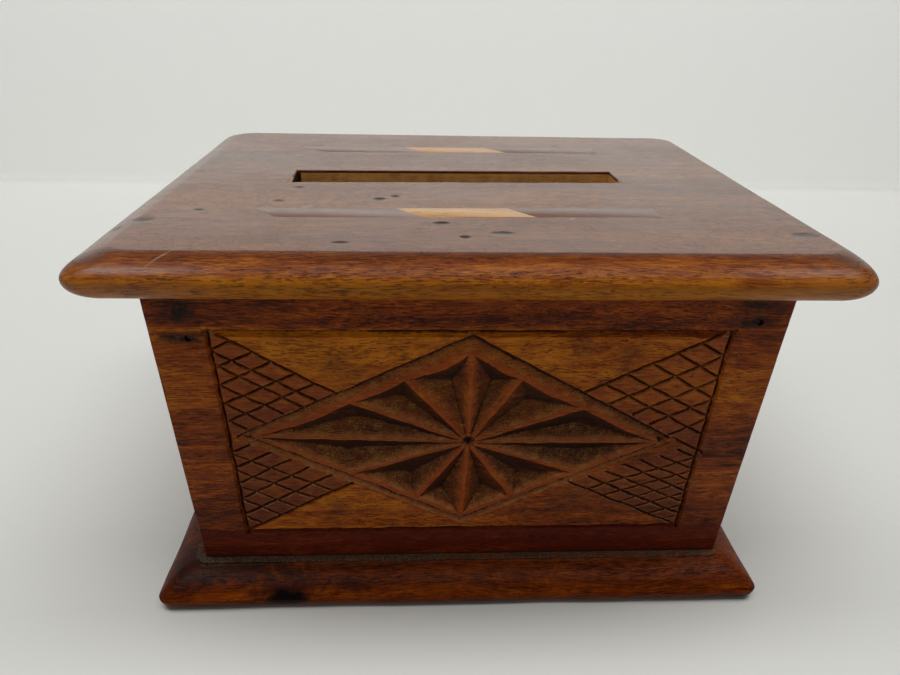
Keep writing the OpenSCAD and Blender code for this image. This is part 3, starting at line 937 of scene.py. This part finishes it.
lift = lift - top_rail_shade * 0.14 - low_rail * 0.12 - low_board_shade * 0.12
pores, fibres = hardwood(wood, place, ("#401400", "#883a02", "#c27008"), (3, 0, 14), lift=lift)
wood.wash("#640f00", low_rail * 0.45)
wood.wash("#8a3d12", in_hatch * 0.35)
# Painted shade: the lower crossed lines are darker still.
wood.wash("#2e0f04", in_hatch * low_board_shade * 0.4)
in_cut = wood.between(sunk, 0.02, 0.2)
skin = wood.clip(1.3 - sunk * 2.0 - blots * 0.3) * in_star
wood.wash("#9c430e", skin * 0.55)
deep = wood.between(sunk + blots * 0.5 - 0.25, 0.25, 0.95)
wood.wash("#3a1a0a", deep * 0.65)
shaded = wood.between(faces_sky * -1, 0.0, 0.5) * in_cut
wood.wash("#160601", shaded * 0.85)
lit = wood.between(faces_sky, 0.2, 0.65) * in_cut * wood.clip(1.15 - deep)
wood.wash("#d48a5a", lit * in_star * (blots * 0.9 - 0.05))
arris = wood.between(fold * -1, 0.06, 0.4)
wood.wash("#c06a2a", arris * in_star * 0.4)
# Worn arrises of the crossed lines, with a painted highlight where they face upwards.
rubbed_sheen = wood.between(fold * -1, 0.01, 0.12) * in_hatch * wood.between(faces_sky, -0.1, 0.3)
wood.wash("#c08c60", rubbed_sheen * (blots * 1.2 - 0.1))
smoky = wood.between(wood.cloud(place, 0.13, 3.0, 0.6), 0.5, 0.66)
wood.wash("#3a1806", smoky * field * 0.4)
specks = wood.between(grit + blots * 0.6, 0.78, 0.95)
dust = specks * in_cut * in_star * wood.between(faces_sky, -0.15, 0.45)
wood.wash("#b0803c", dust * 0.5)
# Painted shade: the bottoms of the cuts are darkened nearly to black.
valley = wood.between(fold, 0.06, 0.3)
wood.wash("#120602", valley * 0.88)
stains_at = [((x - 1, -body_top_y + 1, plinth_top + s), (5.5, 4, 1.5)) for x, s in pin_spots]
stains_at += [((x, -body_top_y + 2, plinth_top + s), (6, 6, 3)) for x, s in ((-58, 66), (58, 68))]
wood.wash("#0b0607", ovals(wood, place, stains_at, blots * 1.6 - 0.75) * 0.95)
foot_dirt = wood.between(blots * 2 - height, -plinth_top - 0.3, -plinth_top + 1.1)
wood.wash("#2a2118", foot_dirt * 0.7)
shine = blots * 0.2 + 0.3 + dust * 0.35 + foot_dirt * 0.3
relief = fibres * 0.4 - pores + patches * 0.5 + grit * deep * 1.6
carved_wood = wood.close(shine, relief, 0.0001, specular=0.12)
finished(front, "front_panel", "box", carved_wood)

# ---------------------------------------------------------------------------------------
# Corner blocks and lid blocks: triangular strips of bare softwood, rubbed with glue into
# the angles inside the box. They are seen only through the money hole.
# ---------------------------------------------------------------------------------------
wood = Finish("softwood")
place = wood.place()
year_lines = wood.cloud(wood.vector("MULTIPLY", place, (1, 1, 0.05)), 0.9, 3.0)
patches = wood.cloud(place, 0.12, 3.0)
stops = [(0.35, paint("#8d6a40")), (0.5, paint("#b78f5c")), (0.68, paint("#c9a878"))]
wood.colour = wood.node("ValToRGB", None, {0: year_lines}, stops=stops)
wood.wash("#5a3d22", wood.between(patches, 0.5, 0.75) * 0.6)
block_wood = wood.close(year_lines * 0.2 + 0.6, year_lines + patches, 0.0001)


def own_copy(name, node, rounding):
    """A piece of its own from a CAD solid, its faces made whole and its arrises softened."""
    work = bmesh.new()
    work.from_mesh(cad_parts[node].data)
    work.transform(Matrix.Scale(1 / MM, 4))
    bmesh.ops.remove_doubles(work, verts=work.verts, dist=1e-3)
    bmesh.ops.dissolve_limit(work, angle_limit=math.radians(0.5), verts=work.verts, edges=work.edges)
    bmesh.ops.recalc_face_normals(work, faces=work.faces)
    made = to_object(name, work)
    soften(made, rounding)
    return made


block_places = {
    "corner_block": ("front_left", "front_right", "back_left", "back_right"),
    "lid_block": ("front", "back", "left", "right"),
}
for kind, places in block_places.items():
    for spot in places:
        node = kind + "_" + spot
        finished(own_copy("softwood_" + node, node, 0.35), node, "box", block_wood)

# ---------------------------------------------------------------------------------------
# Lid: one hardwood board with a rounded edge, fixed down on the body. The coin slot is sawn
# right through, a little askew, and its front arris is worn. The top is dented and scratched.
# ---------------------------------------------------------------------------------------
lid_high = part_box("lid_board")[1]
lid_half_x, lid_half_y = lid_high.x / MM, lid_high.y / MM
lid_top = lid_high.z / MM
lid_belly = lid_under + 3.8
edge_over, edge_over_right, edge_under = 7.0, 4.0, 4.2
slot_long, slot_wide = 83.0, 11.6
layout = Matrix.Translation((-1.2, 1.0, 0)) @ Matrix.Rotation(math.radians(1.5), 4, "Z")
strip_off, strip_wide, strip_long, strip_slant, inlay_thick = 32.0, 6.6, 85.0, 5.5, 1.0
# Dents: (x, y, half length, half width, depth)
dents = [
    (-66.9, -37.1, 2.4, 1.5, 0.3), (-70.6, -41.3, 1.5, 1.0, 0.2), (-39.5, -11.5, 1.5, 1.1, 0.16),
    (-20, -21, 1.7, 1.3, 0.22), (-16.5, -18.6, 1.2, 1.0, 0.2), (-6.5, -38.5, 1.9, 1.1, 0.2),
    (-2.1, -47.2, 1.3, 1.0, 0.18), (5.5, -44.6, 2.6, 1.2, 0.14), (-42.4, -23, 1.4, 1.0, 0.14),
    (-57.8, -30.6, 1.3, 1.0, 0.13), (-25.9, -50.9, 1.8, 0.9, 0.14), (-67, 3.5, 1.4, 1.2, 0.14),
    (67.2, -44.5, 3.0, 1.6, 0.12), (31, 40, 1.4, 1.2, 0.1),
]
lid_profile = [(edge_over + 2, lid_top), (edge_over + 0.12, lid_top)]
break_at = math.radians(62)
for a in np.linspace(break_at, 0, 17):
    inset = edge_over * (1 - math.cos(a)) / (1 - math.cos(break_at))
    lid_profile.append((inset, lid_belly + (lid_top - lid_belly) * math.sin(a) / math.sin(break_at)))
for a in np.linspace(0, math.pi / 2, 10)[1:]:
    drop = (lid_belly - lid_under) * math.sin(a)
    lid_profile.append((edge_under * (1 - math.cos(a)), lid_belly - drop))
lid = moulded_blank(lid_half_x, lid_half_y, 5.0, lid_profile, [(d[0], d[1], d[2] + 0.8) for d in dents])
# The right end is rounded less than the rest, and the moulding grows to it over this many mm.
right_end = 25
insets, heights = zip(*lid_profile[18:1:-1])
for vert in lid.verts:
    inset = np.interp(vert.co.z, heights, insets)
    near_end = np.clip((vert.co.x - lid_half_x + right_end) / (right_end - inset), 0, 1)
    vert.co.x += near_end * inset * (1 - edge_over_right / edge_over) * (vert.co.z > lid_belly)
spots = np.array([vert.co[:] for vert in lid.verts])
sink = np.zeros(len(spots))
for x, y, long, wide, deep in dents:
    far = np.hypot((spots[:, 0] - x) / long, (spots[:, 1] - y) / wide)
    sink += deep * np.clip(1 - far ** 2.5, 0, 1)
uneven = np.clip(0.05 * (1 + ripple(spots, 34, 60)) + 0.025 * (1 + ripple(spots, 9, 61)), 0, 1)
rounded = (spots[:, 2] < lid_top - 0.02) & (spots[:, 2] > lid_under + 0.02)
for k, vert in enumerate(lid.verts):
    x, y, z = spots[k]
    if z > lid_under + 0.02:
        vert.co.z -= sink[k] + (uneven[k] * 0.4 if not rounded[k] else 0)
    if rounded[k]:
        vert.co.x -= math.copysign(uneven[k] * 1.4, x) * (abs(x) > lid_half_x - edge_over)
        vert.co.y -= math.copysign(uneven[k] * 1.4, y) * (abs(y) > lid_half_y - edge_over)
lid = to_object("lid", lid)


def slot_cutter():
    """The slot's shape, opening out at the top where coins and fingers have worn its arrises."""
    outline, flares = [], []
    corners = ((-1, -1), (1, -1), (1, 1), (-1, 1))
    for turn, (a, b) in enumerate(zip(corners, corners[1:] + corners[:1])):
        steps = 40 if turn % 2 == 0 else 6
        for k in range(steps):
            t = k / steps
            x, y = (a[axis] + (b[axis] - a[axis]) * t for axis in (0, 1))
            outline.append((x * slot_long / 2, y * slot_wide / 2))
            worn_by = (0.75 - 0.4 * t, 0.2, 0.22, 0.25 + 0.3 * t)[turn]
            flares.append(worn_by * (1 + 0.3 * ripple(np.array([[t * 80, turn * 9.0]]), 11, 70)[0]))
    rings = ([(x, y, lid_under - 1) for x, y in outline], [], [])
    for (x, y), flare in zip(outline, flares):
        drop = 0.8 * flare + 0.12
        spread = flare * (drop + 1) / drop
        rings[1].append((x, y, lid_top - drop))
        rings[2].append((x * (1 + 2 * spread / slot_long), y * (1 + 2 * spread / slot_wide), lid_top + 1))
    work = bmesh.new()
    rows = [[work.verts.new(layout @ Vector(p)) for p in ring] for ring in rings]
    for lower, upper in zip(rows, rows[1:]):
        for k in range(len(lower)):
            n = (k + 1) % len(lower)
            work.faces.new((lower[k], lower[n], upper[n], upper[k]))
    work.faces.new(rows[0][::-1])
    work.faces.new(rows[-1])
    bmesh.ops.recalc_face_normals(work, faces=work.faces)
    return to_object("slot_cut", work)


def strip(side):
    """The recess for one inlaid strip: slanting at its left end and square at its right."""
    shift = -0.7 if side < 0 else 1.8
    reach, half, lean_by = strip_long / 2, strip_wide / 2, strip_slant / 2
    outline = [(-reach - lean_by, half), (-reach + lean_by, -half), (reach, -half), (reach, half)]
    at = layout @ Matrix.Translation((shift, side * strip_off, 0))
    return prism("recess", outline, lid_top - inlay_thick, lid_top + 1, at)


cut_away(lid, [slot_cutter(), strip(-1), strip(1)])
smooth_faces(lid, 34)
for face in lid.data.polygons:
    if abs(face.normal.z) < 0.3 and abs(face.center.x) < 0.044 and abs(face.center.y) < 0.01:
        face.use_smooth = False

wood = Finish("lid hardwood")
place = wood.place()
patches = wood.cloud(place, 0.035, 3.0)
blots = wood.cloud(place, 0.4, 4.0, 0.62)
below = lid_top - wood.part(place, "Z")
side_way = wood.math("ABSOLUTE", wood.part(place, "X"))
over_end = wood.between(side_way, lid_half_x - 9, lid_half_x - 6)
bull = wood.between(below - over_end * 1.2, 0.12, 0.4)
belly = wood.between(below, 1.4, 4.6)
browns = ("#341205", "#763708", "#a8640f")
lift = patches * 0.25 - 0.1 + belly * 0.14 - bull * 0.02
pores, fibres = hardwood(wood, place, browns, (5, 71, 22), lift=lift)
# Painted sheen: a greyish wash in smudges over the top stands in for the glare on its polish.
wood.wash("#5c3e2e", (1 - bull) * (blots * 0.4 + 0.3))
from_slot = wood.math("ABSOLUTE", wood.part(place, "Y") - 1)
round_slot = wood.between(side_way * -1, -48, -45) * wood.between(from_slot * -1, -9, -8)
in_slot = round_slot * wood.between(below, 0.5, 0.9)
# The slot's walls are painted pale golden: partly bare sawn wood, partly painted light in the shaded slot.
wood.wash("#f0b468", in_slot * (blots * 1.1 + 0.2) * (fibres * 0.6 + 0.6))
# Round the slot's top: the back arris is painted darker, and the worn front arris paler, as a painted
# highlight.
rims = round_slot * wood.between(below, 0.1, 0.25) * (1 - in_slot)
nearer = wood.between(wood.part(place, "Y") * -1, 0, 1)
wood.wash("#3c0d05", rims * (1 - nearer) * 0.8)
wood.wash("#d8ac8c", rims * nearer * (blots * 0.8 + 0.2))
# Painted shadow: the slot's left end is painted near black.
slot_end_shadow = in_slot * wood.between(wood.part(place, "X") * -1, 41.6, 42.1)
wood.wash("#060404", slot_end_shadow * 0.95)
end_grain = wood.between(side_way, lid_half_x - 6, lid_half_x - 1.5)
speckle = wood.cloud(place, 2.2, 3.0, 0.6)
wood.wash("#3c1d0e", end_grain * wood.between(speckle, 0.4, 0.62) * 0.6)
turn = math.radians(38)
across_place = wood.node("Mapping", {"vector_type": "POINT"}, {"Vector": place, "Rotation": (0, 0, turn)})
# Scratches: (x, y, half width, half length), all running the same way
scratches = [
    (-36, -28, 0.3, 3.0), (-34.5, -27, 0.22, 1.8), (-30, 12, 0.2, 3.4), (-45, 24, 0.16, 5),
    (22, -34, 0.18, 3), (48, 8, 0.16, 4), (-57, -57.5, 0.3, 3.2),
]
turned_about = Matrix.Rotation(turn, 3, "Z")
scratches = [(turned_about @ Vector((x, y, lid_top)), (wide, long, 9)) for x, y, wide, long in scratches]
wood.wash("#d9b898", ovals(wood, across_place, scratches, blots * 0.8 - 0.3) * 0.3)
cells = {"Vector": place, "Scale": 0.32, "Randomness": 1.0}
cracks = wood.node("TexVoronoi", {"feature": "DISTANCE_TO_EDGE"}, cells)
crazed = wood.between(cracks * -1, -0.05, -0.01) * wood.between(patches + blots * 0.3, 0.58, 0.7)
wood.wash("#2a140c", crazed * (1 - bull) * 0.5)
pits = wood.between(wood.cloud(place, 1.3, 2.0, 0.5), 0.66, 0.74)
wood.wash("#1e0f0a", pits * (1 - bull * 0.5) * 0.6)
marks_at = [((x, y, lid_top), (long, wide, 2)) for x, y, long, wide, _ in dents]
# The dents are painted darker.
dent_darkening = ovals(wood, place, marks_at, blots * 0.6 - 0.2)
wood.wash("#120a0b", wood.between(dent_darkening, 0.1, 0.4) * 0.8)
ends_worn = wood.between(side_way, 40, 68)
coat = 0.85 - bull * (0.85 - ends_worn * 0.4)
shine = wood.between(patches, 0.42, 0.62) * 0.1 + blots * 0.16 + 0.26 + bull * 0.06
relief = fibres * 0.4 - pores + blots * 0.5
finished(lid, "lid_board", "box", wood.close(shine, relief, 0.0001, coat, 0.25, specular=0.12))

# ---------------------------------------------------------------------------------------
# Inlay: two strips let into the lid, in front of the slot and behind it. Each has a light
# maple piece between two of stained wood, met on slanting joints and glued flush.
# ---------------------------------------------------------------------------------------
def inlay_wood(name, codes, cut_from, figure):
    """The strips' finish: a hardwood under the lid's polish."""
    wood = Finish(name)
    place = wood.place()
    pores, fibres = hardwood(wood, place, codes, cut_from, figure=figure)
    rubbed_sheen = wood.cloud(place, 0.5, 3.0)
    return wood.close(rubbed_sheen * 0.15 + 0.32, fibres - pores, 0.00003, 0.75, 0.28)


light_wood = inlay_wood("maple inlay", ("#94602c", "#b98446", "#d0a062"), (19, 8, 2), 0.7)
dark_wood = inlay_wood("stained inlay", ("#4e3228", "#6c4a3c", "#845f4e"), (44, 2, 9), 0.8)
dressed = {"left": ("dark_inlay", dark_wood), "centre": ("light_inlay", light_wood)}
dressed["right"] = dressed["left"]
for row in ("front", "back"):
    for spot, (slot, inlaid) in dressed.items():
        strip_name = row + "_" + spot
        finished(own_copy("strip_" + strip_name, "inlay_" + strip_name, 0.06),
                 "inlay_" + strip_name, "box", inlaid)

# ---------------------------------------------------------------------------------------
# Fixings: four iron pins punched below the face of the front and back boards, and six
# countersunk steel screws up through the plinth into the boards.
# ---------------------------------------------------------------------------------------


def fixing_tree(name, threaded):
    """Stands a nail or a wood screw on each point, its head facing the point's direction."""
    tree = bpy.data.node_groups.new(name, "GeometryNodeTree")
    tree.is_modifier = True
    face = tree.interface
    face.new_socket(name="Points", in_out="INPUT", socket_type="NodeSocketGeometry")
    for size in ("Shank radius", "Length", "Head radius", "Head height", "Tip length"):
        face.new_socket(name=size, in_out="INPUT", socket_type="NodeSocketFloat")
    face.new_socket(name="Metal", in_out="INPUT", socket_type="NodeSocketMaterial")
    face.new_socket(name="Fixings", in_out="OUTPUT", socket_type="NodeSocketGeometry")
    given = tree.nodes.new("NodeGroupInput").outputs

    def node(kind, settings=None, sockets=None):
        made = tree.nodes.new(kind)
        for key, value in (settings or {}).items():
            setattr(made, key, value)
        for key, value in (sockets or {}).items():
            if isinstance(value, bpy.types.NodeSocket):
                tree.links.new(value, made.inputs[key])
            else:
                made.inputs[key].default_value = value
        return made

    def math_of(operation, a, b):
        return node("ShaderNodeMath", {"operation": operation}, {0: a, 1: b}).outputs[0]

    def lowered(shape, drop):
        away = node("ShaderNodeCombineXYZ", None, {2: drop}).outputs[0]
        return node("GeometryNodeTransform", None, {"Geometry": shape, "Translation": away}).outputs[0]

    minus_head = math_of("MULTIPLY", given["Head height"], -1.0)
    minus_length = math_of("MULTIPLY", given["Length"], -1.0)
    shank_low = math_of("ADD", minus_length, given["Tip length"])
    shank_long = math_of("SUBTRACT", minus_head, shank_low)

    def cone(above, below, depth, drop):
        sizes = {"Vertices": 24, "Radius Top": above, "Radius Bottom": below, "Depth": depth}
        made = node("GeometryNodeMeshCone", {"fill_type": "NONE"}, sizes).outputs[0]
        return lowered(made, drop)

    shank = given["Shank radius"]
    parts = [
        cone(given["Head radius"], shank, given["Head height"], minus_head),
        cone(shank, shank, shank_long, shank_low),
        cone(shank, 0.00002, given["Tip length"], minus_length),
    ]
    caps = ((given["Head radius"], 0.0), (0.00002, minus_length))
    for radius, drop in caps:
        disc = node("GeometryNodeMeshCircle", {"fill_type": "NGON"}, {"Vertices": 24, "Radius": radius})
        parts.append(lowered(disc.outputs[0], drop))
    join = node("GeometryNodeJoinGeometry")
    for part in parts:
        tree.links.new(part, join.inputs[0])
    merged = {"Geometry": join.outputs[0], "Distance": 1e-6}
    whole = node("GeometryNodeMergeByDistance", None, merged).outputs[0]
    if threaded:
        slit = node("GeometryNodeMeshCube", None, {"Size": (0.012, 0.0007, 0.0014)}).outputs[0]
        exact = {"operation": "DIFFERENCE", "solver": "EXACT"}
        cut = node("GeometryNodeMeshBoolean", exact, {0: whole, 1: slit})
        helix = {"Resolution": 20, "Rotations": 9.0, "Height": 0.010}
        helix |= {"Start Radius": shank, "End Radius": shank}
        path = node("GeometryNodeCurveSpiral", None, helix).outputs[0]
        ridge = {"Resolution": 3, "Radius": 0.00022}
        ridge = node("GeometryNodeCurvePrimitiveCircle", {"mode": "RADIUS"}, ridge).outputs[0]
        thread = node("GeometryNodeCurveToMesh", None, {0: path, 1: ridge, "Fill Caps": True}).outputs[0]
        joined = node("GeometryNodeJoinGeometry")
        tree.links.new(cut.outputs[0], joined.inputs[0])
        tree.links.new(lowered(thread, shank_low), joined.inputs[0])
        whole = joined.outputs[0]
    named = {"Name": "outward"}
    facing = node("GeometryNodeInputNamedAttribute", {"data_type": "FLOAT_VECTOR"}, named).outputs[0]
    turn = node("FunctionNodeAlignRotationToVector", {"axis": "Z"}, {"Vector": facing}).outputs[0]
    stand = {"Points": given["Points"], "Instance": whole, "Rotation": turn}
    stood = node("GeometryNodeInstanceOnPoints", None, stand).outputs[0]
    real = node("GeometryNodeRealizeInstances", None, {0: stood}).outputs[0]
    dressed = node("GeometryNodeSetMaterial", None, {"Geometry": real, "Material": given["Metal"]}).outputs[0]
    tree.links.new(dressed, tree.nodes.new("NodeGroupOutput").inputs[0])
    return tree


def fixings(name, tree, heads, sizes, metal):
    """Runs a fixing tree on a list of (place in mm, outward direction)."""
    mesh = bpy.data.meshes.new(name)
    mesh.from_pydata([tuple(Vector(spot) * MM) for spot, _ in heads], [], [])
    layer = mesh.attributes.new("outward", "FLOAT_VECTOR", "POINT")
    for k, (_, out) in enumerate(heads):
        layer.data[k].vector = out
    made = bpy.data.objects.new(name, mesh)
    bpy.context.scene.collection.objects.link(made)
    stand = made.modifiers.new("fixings", "NODES")
    stand.node_group = tree
    values = dict(sizes, Metal=metal)
    for socket in tree.interface.items_tree:
        if socket.in_out == "INPUT" and socket.name in values:
            stand[socket.identifier] = values[socket.name]
    settle(made)
    smooth_faces(made)
    return made


def metal_finish(name, bare, rust, rusted):
    finish = Finish(name)
    coords = finish.node("TexCoord", None, None, 3)
    rust_spots = finish.cloud(coords, 900, 4.0, 0.6)
    scratch = finish.cloud(coords, 4200, 2.0)
    eaten = finish.between(rust_spots, 0.62 - rusted * 0.3, 0.72 - rusted * 0.2)
    finish.colour = paint(bare)
    finish.wash("#2b2927", scratch * 0.5)
    finish.wash(rust, eaten)
    gloss = eaten * 0.4 + scratch * 0.2 + 0.25
    return finish.close(gloss, rust_spots, 0.00005, metallic=1 - eaten * 0.9)


iron = metal_finish("rusted iron", "#4a4643", "#1d1310", 0.9)
steel = metal_finish("screw steel", "#9a958c", "#4a2e1c", 0.35)
size_names = ("Shank radius", "Length", "Head radius", "Head height", "Tip length")
pin_heads = [(spot - out * pin_sunk, out) for turn in (0.0, math.pi) for spot, out in pin_axes(turn)]
pin_sizes = dict(zip(size_names, (0.00045, 0.012, 0.0006, 0.0007, 0.002)))
pins = fixings("iron_pins", fixing_tree("panel pins", False), pin_heads, pin_sizes, iron)
finished(pins, "panel_pins", "box", iron)
screw_heads = [((x, y, screw_low.z / MM), (0, 0, -1)) for x, y in screw_places]
screw_sizes = dict(zip(size_names, (0.00105, 0.016, 0.0025, 0.0012, 0.004)))
screws = fixings("wood_screws", fixing_tree("plinth screws", True), screw_heads, screw_sizes, steel)
finished(screws, "plinth_screws", "box", steel)

# ---------------------------------------------------------------------------------------
# Studio: a pale floor that turns up into a pale wall behind, a broad soft light overhead and
# a camera that looks down on the front of the box.
# ---------------------------------------------------------------------------------------
wall_back, cove, wall_tall, floor_front = 0.328, 0.006, 0.3, -2.0
section = [(floor_front, 0.0)]
for a in np.linspace(0, math.pi / 2, 9):
    section.append((wall_back - cove + cove * math.sin(a), cove - cove * math.cos(a)))
section += [(wall_back, wall_tall)]
work = bmesh.new()
sides = [[work.verts.new((x, y, z)) for y, z in section] for x in (-2.0, 2.0)]
for k in range(len(section) - 1):
    work.faces.new((sides[0][k], sides[1][k], sides[1][k + 1], sides[0][k + 1]))
work.transform(Matrix.Scale(1 / MM, 4))
backdrop = to_object("backdrop", work)
backdrop.data.shade_smooth()
paper = Finish("pale backdrop")
coords = paper.node("TexCoord", None, None, 3)
cloudy = paper.cloud(coords, 3.0, 3.0)
on_wall = paper.between(paper.part(coords, "Z"), 0.001, 0.006)
paper.colour = paper.tint(paint("#d3d4d0"), paint("#dadbd7"), cloudy)
# Painted light: the wall is painted paler than the floor, for the brighter light that falls on it.
paper.wash("#f6f7f4", on_wall)
backdrop.data.materials.append(paper.close(cloudy * 0.1 + 0.6, cloudy, 0.0002))

room = Finish("room", "worlds")
heading = room.node("TexCoord")
elevation = room.part(heading, "Z")
fade = {"Value": elevation, "From Min": 0.1, "From Max": 0.55, "To Min": 0.32, "To Max": 0.08}
sky = room.node("MapRange", None, fade)
glow = room.node("Background", None, {"Color": (0.95, 0.98, 1.0, 1.0), "Strength": sky})
room.node("OutputWorld", None, {0: glow}, None)
bpy.context.scene.world = room.material


def lamp(name, place, aim, size_x, size_y, power, tint_of=(1, 1, 1)):
    light = bpy.data.lights.new(name, "AREA")
    light.shape = "RECTANGLE"
    light.size, light.size_y = size_x, size_y
    light.energy = power
    light.color = tint_of
    made = bpy.data.objects.new(name, light)
    made.location = place
    made.rotation_euler = (Vector(aim) - Vector(place)).to_track_quat("-Z", "Y").to_euler()
    bpy.context.scene.collection.objects.link(made)


lamp("ceiling light", (0.0, -0.12, 0.95), (0.0, 0.05, 0.0), 1.1, 0.4, 5.4, (1.0, 0.985, 0.96))
lamp("wall light", (0.0, 0.02, 0.85), (0.0, 0.34, 0.25), 1.4, 0.25, 4.0, (1.0, 1.0, 0.99))

camera_place = Vector((-11.3, -173.0, 130.7)) * MM
yaw, pitch, roll = math.radians(3.05), math.radians(27.17), math.radians(1.4)
ahead = Vector((math.sin(yaw) * math.cos(pitch), math.cos(yaw) * math.cos(pitch), -math.sin(pitch)))
right = Vector((math.cos(yaw), -math.sin(yaw), 0))
above = right.cross(ahead)
turned_right = math.cos(roll) * right + math.sin(roll) * above
turned_up = math.cos(roll) * above - math.sin(roll) * right
camera_data = bpy.data.cameras.new("camera")
camera_data.sensor_width = 36
camera_data.lens = 27.1
camera_data.clip_start = 0.005
camera = bpy.data.objects.new("camera", camera_data)
pose = Matrix((turned_right, turned_up, -ahead)).transposed().to_4x4()
pose.translation = camera_place
camera.matrix_world = pose
bpy.context.scene.collection.objects.link(camera)
bpy.context.scene.camera = camera
bpy.context.scene.view_settings.view_transform = "Standard"

bpy.context.view_layer.update()
